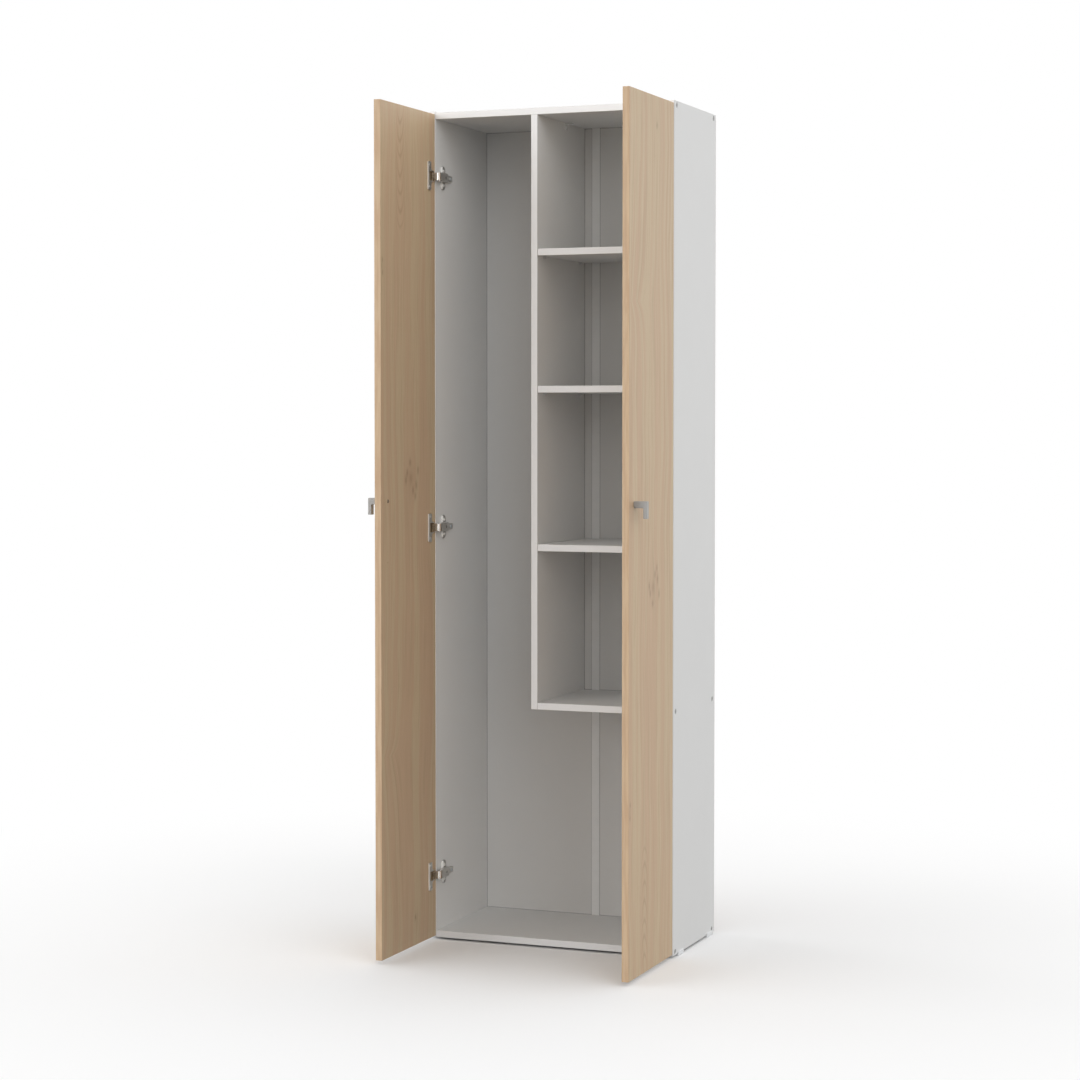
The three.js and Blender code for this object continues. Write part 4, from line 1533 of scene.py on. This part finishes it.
@dataclass
class Hinges:
    """The six hinges in the fitting frame: cup, link, arm and plate, with their screws.

    The cup's sizes are millimetres from the door's hinge edge, and the rest from the side's front. An
    eye of the link is the outer radius and the hole's radius. Vertices nearer than weld become one.
    Clear is how far a cutting tool reaches past what it cuts, and over is the least that it does.
    """

    door_gap: float = 3.0
    cup_centre: float = 26.0
    cup_radius: float = 12.7
    cup_depth: float = 11.2
    wall: float = 1.0
    mouth: float = 20.8
    mouth_far: float = 34.0
    trough_near: float = 4.8
    trough_depth: float = 7.7
    bowl_round: float = 2.2
    flange: float = 2.5
    flange_near: float = 14.0
    ear_centre: float = 32.0
    ear: float = 16.0
    ear_span: float = 63.0
    ear_round: float = 2.8
    screw_pitch: float = 48.0
    lip: float = 2.0
    flare: float = 5.0
    flare_run: float = 4.0
    cup_pin: tuple[float, float] = (9.55, -1.8)
    cup_pin_radius: float = 0.9
    arm_pin: tuple[float, float] = (12.0, -5.5)
    arm_pin_radius: float = 1.2
    arm_pin_proud: float = 0.12
    link_width: float = 16.6
    link_narrow: float = 8.0
    link_bow: float = 4.0
    link_half: float = 1.0
    link_waist: tuple[float, float] = (9.5, 12.0)
    link_steps: int = 20
    trim_lifts: tuple[float, float] = (-9.0, 11.0)
    arm_eye: tuple[float, float] = (2.4, 1.32)
    cup_eye: tuple[float, float] = (1.7, 1.02)
    arm_width: float = 20.0
    arm_wall: float = 1.3
    arm_top: float = 13.2
    arm_front: float = 3.0
    hollow_from: tuple[float, float] = (-2.0, -12.0)
    arm_skirt: float = 4.2
    skirt_back: float = 8.0
    arm_nose: float = 2.6
    arm_shoulder: float = 40.0
    shoulder_run: float = 4.0
    shoulder_drop: float = 5.0
    arm_tip: float = 72.0
    tip_width: float = 13.0
    tip_top: float = 10.6
    tip_chamfer: float = 2.0
    plate_back: float = 36.0
    plate_wing: float = 18.0
    plate_span: float = 52.0
    plate_round: float = 8.9
    plate_thick: float = 4.2
    plate_pitch: float = 32.0
    plate_bright: float = 3.0
    saddle_half: float = 4.7
    saddle_root: float = 0.2
    saddle_from: float = 16.0
    saddle_to: float = 38.4
    tongue_to: float = 66.0
    saddle_under: float = 1.6
    front_adjuster: float = 29.0
    rear_clamp: float = 60.0
    clamp_hole: float = 2.5
    cup_ease: float = 0.3
    link_ease: float = 0.2
    arm_ease: float = 0.9
    plate_ease: float = 0.7
    saddle_ease: float = 0.4
    weld: float = 0.005
    clear: float = 20.0
    over: float = 1.0
    cup_head: Head = Head(3.2, 0.8, 0.3, Drive.CROSS, 4.0, 0.8)
    wing_head: Head = Head(3.9, 1.3, 0.3, Drive.CROSS, 4.4, 0.9)
    adjuster_head: Head = Head(3.0, 0.5, 0.3, Drive.CROSS, 3.6, 0.5)
    clamp_head: Head = Head(4.1, 1.9, 0.3, Drive.CROSS, 4.8, 1.3)

    def __post_init__(self) -> None:
        """Chooses the finishes."""
        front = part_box("side_left")[0].y
        # The flange's and the wings' painted highlights start at these front edges.
        flange_edge = front - (self.door_gap + self.ear_centre + self.ear / 2) * MM
        wing_edge = front + (self.plate_back - self.plate_wing / 2 + self.plate_bright) * MM
        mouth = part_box("side_right")[0].x + 0.1 * MM
        self.cup_metal = CupMetal(
            "cup_nickel", Slot.NICKEL, tint(208, 205, 199), 0.9, 0.3, edge=flange_edge, mouth=mouth
        )
        self.arm_metal = Metal("arm_nickel", Slot.NICKEL, tint(200, 198, 194), metallic=0.85, roughness=0.34)
        self.link_metal = LinkMetal("link_nickel", Slot.NICKEL, tint(238, 237, 234), 0.6, 0.26, front=front)
        self.plate_metal = Pressing(
            "plate_nickel", Slot.NICKEL, tint(172, 171, 168), 0.95, 0.3,
            edge=wing_edge, edge_fade=2.0 * MM, edge_colour=tint(247, 246, 243),
        )
        self.cup_screw = Metal("screw_nickel", Slot.NICKEL, tint(245, 244, 242), metallic=0.9, roughness=0.25)
        self.wing_screw = Metal(
            "wing_screw_nickel", Slot.NICKEL, tint(247, 246, 244), metallic=0.3, roughness=0.25
        )
        self.adjuster = Metal("adjuster_steel", Slot.SCREW, tint(138, 136, 132), roughness=0.36)
        self.clamp = Metal("clamp_nickel", Slot.NICKEL, tint(188, 193, 198), metallic=0.5, roughness=0.3)

    def cup_pin_place(self) -> tuple[float, float]:
        """X and Y of the cup's pin on the open door."""
        inward, out = self.cup_pin
        return out, -self.door_gap - inward

    def bowl(self, margin: float, top: float) -> bpy.types.Object:
        """The cup's bowl and trough, drawn in by a margin, up to a height over the door's face.

        Args:
            margin: How far inside the cup's outside it lies.
            top: Its top.

        Returns:
            The solid.
        """
        radius = self.cup_radius - margin
        floor = margin - self.cup_depth
        bend = self.bowl_round
        corner = arc(radius - bend, floor + bend, bend, -90, 0, 6)
        profile = [(0.0, floor), *corner, (radius, top), (0.0, top)]
        middle = -self.door_gap - self.cup_centre
        made = Bench.turned("bowl", profile, Axis.X, (0, middle, 0), 64)
        half = self.mouth / 2 + self.wall - margin
        near = -self.door_gap - self.trough_near - margin
        low = (margin - self.trough_depth, middle, -half)
        made = Bench.combine(made, Bench.block("trough", low, (top, near, half)), Cut.JOIN)
        return Bench.clean(made, 2 * self.weld)

    def ring(self, left: float, right: float, half: float, radius: float, steps: int = 8) -> list[Point]:
        """A rectangle outline on Y and Z with round corners.

        Args:
            left: Its low Y.
            right: Its high Y.
            half: Half its height.
            radius: Its corners' radius.
            steps: Faces in a corner.

        Returns:
            The outline's points.
        """
        low, high = left + radius, right - radius
        up = half - radius
        points = []
        for quarter, (y, z) in enumerate([(high, up), (low, up), (low, -up), (high, -up)]):
            points += arc(y, z, radius, 90 * quarter, 90 * (quarter + 1), steps)
        return points

    def cup(self) -> bpy.types.Object:
        """The cup: a pressed bowl and trough, a flange with two ears, and the link's pin."""
        far = -self.door_gap - self.ear_centre - self.ear / 2
        near = far + self.ear
        narrow = self.mouth / 2 + self.lip
        wide = narrow + self.flare
        edge = -self.door_gap - self.flange_near
        rim = [(near, -wide), (near + self.flare_run, -narrow), (edge, -narrow)]
        rim += [(y, -z) for y, z in reversed(rim)]
        outline = self.ring(far, near, self.ear_span / 2, self.ear_round) + rim
        cup = Bench.prism("flange", outline, Axis.X, 0, self.flange)
        shell = self.bowl(0, self.flange / 2)
        shell = Bench.combine(shell, self.bowl(self.wall, self.flange / 2 + self.over), Cut.TAKE)
        flush = Bench.block("flush", (0, edge, -self.clear), (self.clear,) * 3)
        shell = Bench.combine(shell, flush, Cut.TAKE)
        cup = Bench.combine(cup, shell, Cut.JOIN)
        low = (-self.over, -self.door_gap - self.mouth_far, -self.mouth / 2)
        rim_near = -self.door_gap - self.trough_near - self.wall
        high = (self.flange + self.over, rim_near, self.mouth / 2)
        cup = Bench.combine(cup, Bench.block("mouth", low, high), Cut.TAKE)
        Bench.clean(cup, 2 * self.weld)
        Bench.ease(cup, self.cup_ease, 3, 35.0)
        reach = self.mouth / 2 + self.wall / 2
        pin = Bench.rod("pin", self.cup_pin_radius, Axis.Z, (*self.cup_pin_place(), 0), -reach, reach, 24)
        return Bench.combine(cup, pin, Cut.JOIN)

    def link(self) -> bpy.types.Object:
        """The link: a bowed strap between the arm's pin and the cup's, in the open door's place."""
        start = Vector(self.arm_pin)
        end = Vector(self.cup_pin_place())
        span = end - start
        along = span.normalized()
        across = Vector((-along.y, along.x))
        upper, lower = [], []
        for i in range(self.link_steps + 1):
            share = i / self.link_steps
            lift = self.link_bow * 2 * share * (1 - share)
            spot = start + span * share + across * lift
            upper.append(spot + across * self.link_half)
            lower.append(spot - across * self.link_half)
        outline = [tuple(point) for point in lower + upper[::-1]]
        half = self.link_width / 2
        strap = Bench.prism("strap", outline, Axis.Z, -half, half)
        ends = ((start, self.arm_eye), (end, self.cup_eye))
        for spot, (radius, _) in ends:
            eye = Bench.rod("eye", radius, Axis.Z, (*spot, 0), -half, half, 32)
            Bench.combine(strap, eye, Cut.JOIN)
        for sign in (-1, 1):
            trim = self._link_trim(start, along, across, sign)
            Bench.combine(strap, trim, Cut.TAKE)
        for spot, (_, radius) in ends:
            reach = half + 2 * self.over
            hole = Bench.rod("hole", radius, Axis.Z, (*spot, 0), -reach, reach, 32)
            Bench.combine(strap, hole, Cut.TAKE)
        Bench.clean(strap, self.weld)
        return Bench.ease(strap, self.link_ease, 2, 40.0)

    def _link_trim(self, start: Vector, along: Vector, across: Vector, sign: int) -> bpy.types.Object:
        """The wedge that narrows the link towards the cup's pin, on one side.

        Args:
            start: The arm's pin.
            along: The way from the arm's pin to the cup's.
            across: The way square to it.
            sign: Which side of the link.

        Returns:
            The tool.
        """
        half, narrow = self.link_width / 2, self.link_narrow / 2
        begin, full = self.link_waist
        outside, beyond = half + 3 * self.over, full * 2
        outline = [(begin, outside), (begin, half), (full, narrow), (beyond, narrow), (beyond, outside)]
        points = []
        for lift in self.trim_lifts:
            for run, level in outline:
                flat = start + along * run + across * lift
                points.append((flat.x, flat.y, sign * level))
        count = len(outline)
        faces = [tuple(range(count)), tuple(range(count, 2 * count))]
        faces += [(i, (i + 1) % count, count + (i + 1) % count, count + i) for i in range(count)]
        return Bench.solid("trim", points, faces)

    def arm_outline(self) -> list[Point]:
        """The arm's side view on X and Y."""
        points = arc(*self.arm_pin, self.arm_nose, 180, 360, 24)
        points += [(self.arm_top, self.arm_front), (self.arm_top, self.arm_shoulder)]
        step, slope = self.arm_shoulder + self.shoulder_drop, self.tip_chamfer
        points += [(self.tip_top, step), (self.tip_top, self.arm_tip - slope)]
        points += [(self.tip_top - slope, self.arm_tip), (self.arm_skirt, self.arm_tip)]
        return [*points, (self.arm_skirt, self.skirt_back)]

    def arm(self) -> bpy.types.Object:
        """The arm: a pressed channel with a lower, narrower tip, a hole for its screw and the link's pin."""
        half, tip_half = self.arm_width / 2, self.tip_width / 2
        arm = Bench.prism("arm_template", self.arm_outline(), Axis.Z, -half, half)
        for sign in (-1, 1):
            inner, outer = sign * tip_half, sign * (half + 2 * self.over)
            beyond = self.arm_tip + 2 * self.over
            waist = [(self.arm_shoulder, sign * half), (self.arm_shoulder + self.shoulder_run, inner)]
            waist += [(beyond, inner), (beyond, outer), (self.arm_shoulder, outer)]
            Bench.combine(arm, Bench.prism("waist", waist, Axis.X, 0, self.clear), Cut.TAKE)
        Bench.clean(arm, self.weld)
        Bench.ease(arm, self.arm_ease, 4, 50.0)
        cheek, tip_cheek = half - self.arm_wall, tip_half - self.arm_wall
        hollows = [
            (self.arm_top - self.arm_wall, self.arm_shoulder - self.arm_wall, cheek),
            (self.arm_top + 4 * self.over, self.arm_front, cheek),
            (self.tip_top - self.arm_wall, self.arm_tip - self.arm_wall, tip_cheek),
        ]
        for high in hollows:
            hollow = Bench.block("hollow", (*self.hollow_from, -high[2]), high)
            Bench.combine(arm, hollow, Cut.TAKE)
        hole = Bench.rod("hole", self.clamp_hole, Axis.X, (0, self.rear_clamp, 0), 0, self.clear, 32)
        Bench.combine(arm, hole, Cut.TAKE)
        reach = half + self.arm_pin_proud
        pin = Bench.rod("pin", self.arm_pin_radius, Axis.Z, (*self.arm_pin, 0), -reach, reach, 28)
        return Bench.combine(arm, pin, Cut.JOIN)

    def plate(self) -> bpy.types.Object:
        """The mounting plate: round-ended wings, and the saddle under the arm."""
        front, rear = self.plate_back - self.plate_wing / 2, self.plate_back + self.plate_wing / 2
        wing = self.ring(front, rear, self.plate_span / 2, self.plate_round, 12)
        plate = Bench.prism("plate_template", wing, Axis.X, 0, self.plate_thick)
        Bench.ease(plate, self.plate_ease, 3, 50.0)
        low = (self.saddle_root, self.saddle_from, -self.saddle_half)
        for roof, end in ((self.arm_top, self.saddle_to), (self.tip_top, self.tongue_to)):
            saddle = Bench.block("saddle", low, (roof - self.saddle_under, end, self.saddle_half))
            Bench.combine(plate, Bench.ease(saddle, self.saddle_ease, 2, 50.0), Cut.JOIN)
        return plate

    def height(self, hand: Hand, level: Level) -> float:
        """The height of a hinge, from its plate's solid."""
        return centre(f"hinge_plate_{hand.word}_{level.value}").z

    def build(self) -> None:
        """Makes the four pressings once, sets them at the six stations, and adds their screws."""
        templates = {
            "cup": (self.cup(), "door", self.cup_metal),
            "link": (self.link(), "links", self.link_metal),
            "arm": (self.arm(), None, self.arm_metal),
            "plate": (self.plate(), None, self.plate_metal),
        }
        for hand in Hand:
            for level in Level:
                station = Station(hand, self.height(hand, level))
                for part, (template, rider, metal) in templates.items():
                    node = f"hinge_{part}_{hand.word}_{level.value}"
                    body = f"{hand.word}_{rider}" if rider else "carcass"
                    piece = Bench.placed(template, node + "_pressing", station.matrix())
                    fit(piece, body, metal, node)
        for template, _, _ in templates.values():
            Bench.scrap(template)
        self.build_screws()

    def build_screws(self) -> None:
        """The cup screws on the doors, and the plate and arm screws on the carcass."""
        wing, adjusters, clamps = [], [], []
        for hand in Hand:
            ears = []
            for level in Level:
                station = Station(hand, self.height(hand, level))
                out = station.facing((1, 0, 0))
                for sign in (-1, 1):
                    ear = (self.flange, -self.door_gap - self.ear_centre, sign * self.screw_pitch / 2)
                    ears.append(Seat(station.point(ear), out))
                    hole = (self.plate_thick, self.plate_back, sign * self.plate_pitch / 2)
                    wing.append(Seat(station.point(hole), out))
                adjusters.append(Seat(station.point((self.arm_top, self.front_adjuster, 0)), out))
                clamps.append(Seat(station.point((self.tip_top, self.rear_clamp, 0)), out))
            row = f"cup_screws_{hand.word}"
            ScrewRow(row, hand.word + "_door", self.cup_screw, self.cup_head, ears, seed=11).build()
        ScrewRow("plate_screws", "carcass", self.wing_screw, self.wing_head, wing, seed=5).build()
        ScrewRow("arm_adjusters", "carcass", self.adjuster, self.adjuster_head, adjusters, seed=2).build()
        ScrewRow("arm_clamps", "carcass", self.clamp, self.clamp_head, clamps, seed=9).build()


@dataclass(frozen=True)
class Lamp:
    """A soft lamp so far away that its light doesn't fall off.

    Its azimuth is 0 in front of the doors and 90 on the right, in degrees. Its strength is its light
    on a face square to it, and its softness is how wide it looks, in degrees.
    """

    name: str
    azimuth: float
    elevation: float
    strength: float
    softness: float = 50.0

    def build(self) -> None:
        """Hangs the lamp in the scene."""
        light = bpy.data.lights.new(self.name, "SUN")
        light.energy = self.strength
        light.angle = math.radians(self.softness)
        turn, lift = math.radians(self.azimuth), math.radians(self.elevation)
        toward = Vector((math.sin(turn) * math.cos(lift), -math.cos(turn) * math.cos(lift), math.sin(lift)))
        linked(self.name, light).rotation_euler = toward.to_track_quat("Z", "Y").to_euler()


@dataclass
class Studio:
    """The floor, the white surroundings, the lamps and the camera."""

    floor_size: float = 60.0
    floor_seen: float = 0.92
    floor_bounce: float = 0.24
    floor_roughness: float = 0.9
    dome_high: float = 0.24
    dome_low: float = 0.16
    dome_from: float = -0.1
    dome_to: float = 0.7
    fade_near: float = 0.3
    fade_far: float = 2.2
    lamps: tuple[Lamp, ...] = (
        Lamp("front_left", -45, 12, 1.8),
        Lamp("far_left", -90, 14, 1.5),
        Lamp("front_right", 45, 14, 1.05),
        Lamp("high_right", 45, 45, 0.25),
        Lamp("front", 0, 25, 0.25),
        Lamp("right", 90, 22, 0.7, 110),
        Lamp("back_right", 135, 30, 1.2, 110),
        Lamp("back_left", -135, 45, 0.35),
    )
    sensor: float = 36.0
    lens: float = 82.907
    far_clip: float = 200.0
    camera_place: tuple[float, float, float] = (1.987061, -5.080965, 1.168342)
    camera_pitch: float = 90 - 2.045
    camera_turn: float = 21.596
    camera_shift: float = -0.03

    @staticmethod
    def seen(graph: Graph) -> Wire:
        """One for rays that show the background: straight, mirrored or through glass."""
        camera = graph.node("ShaderNodeLightPath", output="Is Camera Ray")
        outputs = camera.socket.node.outputs
        glossy = Wire(graph, outputs["Is Glossy Ray"])
        through = Wire(graph, outputs["Is Transmission Ray"])
        return graph.math("MAXIMUM", graph.math("MAXIMUM", camera, glossy), through)

    def build_world(self) -> None:
        """A white background, and a soft dome of light that is brighter above."""
        world = bpy.data.worlds.new("studio_white")
        bpy.context.scene.world = world
        graph = Graph.emptied(world)
        _, _, up = graph.split(graph.node("ShaderNodeTexCoord", output="Generated"))
        above = graph.smooth(up, self.dome_from, self.dome_to)
        dome = graph.mix(above, grey(self.dome_low), grey(self.dome_high))
        colour = graph.mix(self.seen(graph), dome, grey(1.0))
        light = graph.node("ShaderNodeBackground", {}, {"Color": colour, "Strength": 1.0})
        graph.node("ShaderNodeOutputWorld", {}, {"Surface": light})

    def build_floor(self) -> None:
        """A plain pale floor that keeps the cupboard's shadow and fades to white away from it."""
        half = self.floor_size / 2
        mesh = bpy.data.meshes.new("floor")
        corners = [(-half, -half, 0), (half, -half, 0), (half, half, 0), (-half, half, 0)]
        mesh.from_pydata(corners, [], [(0, 1, 2, 3)])
        material = bpy.data.materials.new("pale_floor")
        graph = Graph.emptied(material)
        colour = graph.mix(self.seen(graph), grey(self.floor_bounce), grey(self.floor_seen))
        inputs = {"Base Color": colour, "Roughness": self.floor_roughness, "Specular IOR Level": 0.0}
        shader = graph.node("ShaderNodeBsdfPrincipled", {}, inputs)
        x, y, _ = graph.split(graph.node("ShaderNodeTexCoord", output="Object"))
        away = graph.smooth(graph.math("SQRT", x * x + y * y), self.fade_near, self.fade_far)
        white = graph.node("ShaderNodeEmission", {}, {"Color": grey(1.0), "Strength": 1.0})
        faded = graph.node("ShaderNodeMixShader", {}, {0: away * self.seen(graph), 1: shader, 2: white})
        graph.node("ShaderNodeOutputMaterial", {}, {"Surface": faded})
        mesh.materials.append(material)
        floor = linked("floor", mesh)

    def build_camera(self) -> None:
        """The camera, at the photograph's place and angle."""
        data = bpy.data.cameras.new("camera")
        data.sensor_width = self.sensor
        data.lens = self.lens
        data.shift_y = self.camera_shift
        data.clip_end = self.far_clip
        camera = linked("camera", data)
        camera.location = self.camera_place
        camera.rotation_euler = (math.radians(self.camera_pitch), 0, math.radians(self.camera_turn))
        bpy.context.scene.camera = camera

    def build(self) -> None:
        """Builds the studio round the cupboard."""
        bpy.context.scene.view_settings.view_transform = "Standard"
        self.build_world()
        self.build_floor()
        for lamp in self.lamps:
            lamp.build()
        self.build_camera()


def main() -> None:
    """Builds the cupboard and the studio in order."""
    logging.basicConfig(level=logging.INFO, format="%(message)s")
    Studio().build()
    Carcass().build()
    for hand in Hand:
        Door(hand).build()
    Handle().build()
    Hinges().build()


if __name__ == "__main__":
    main()
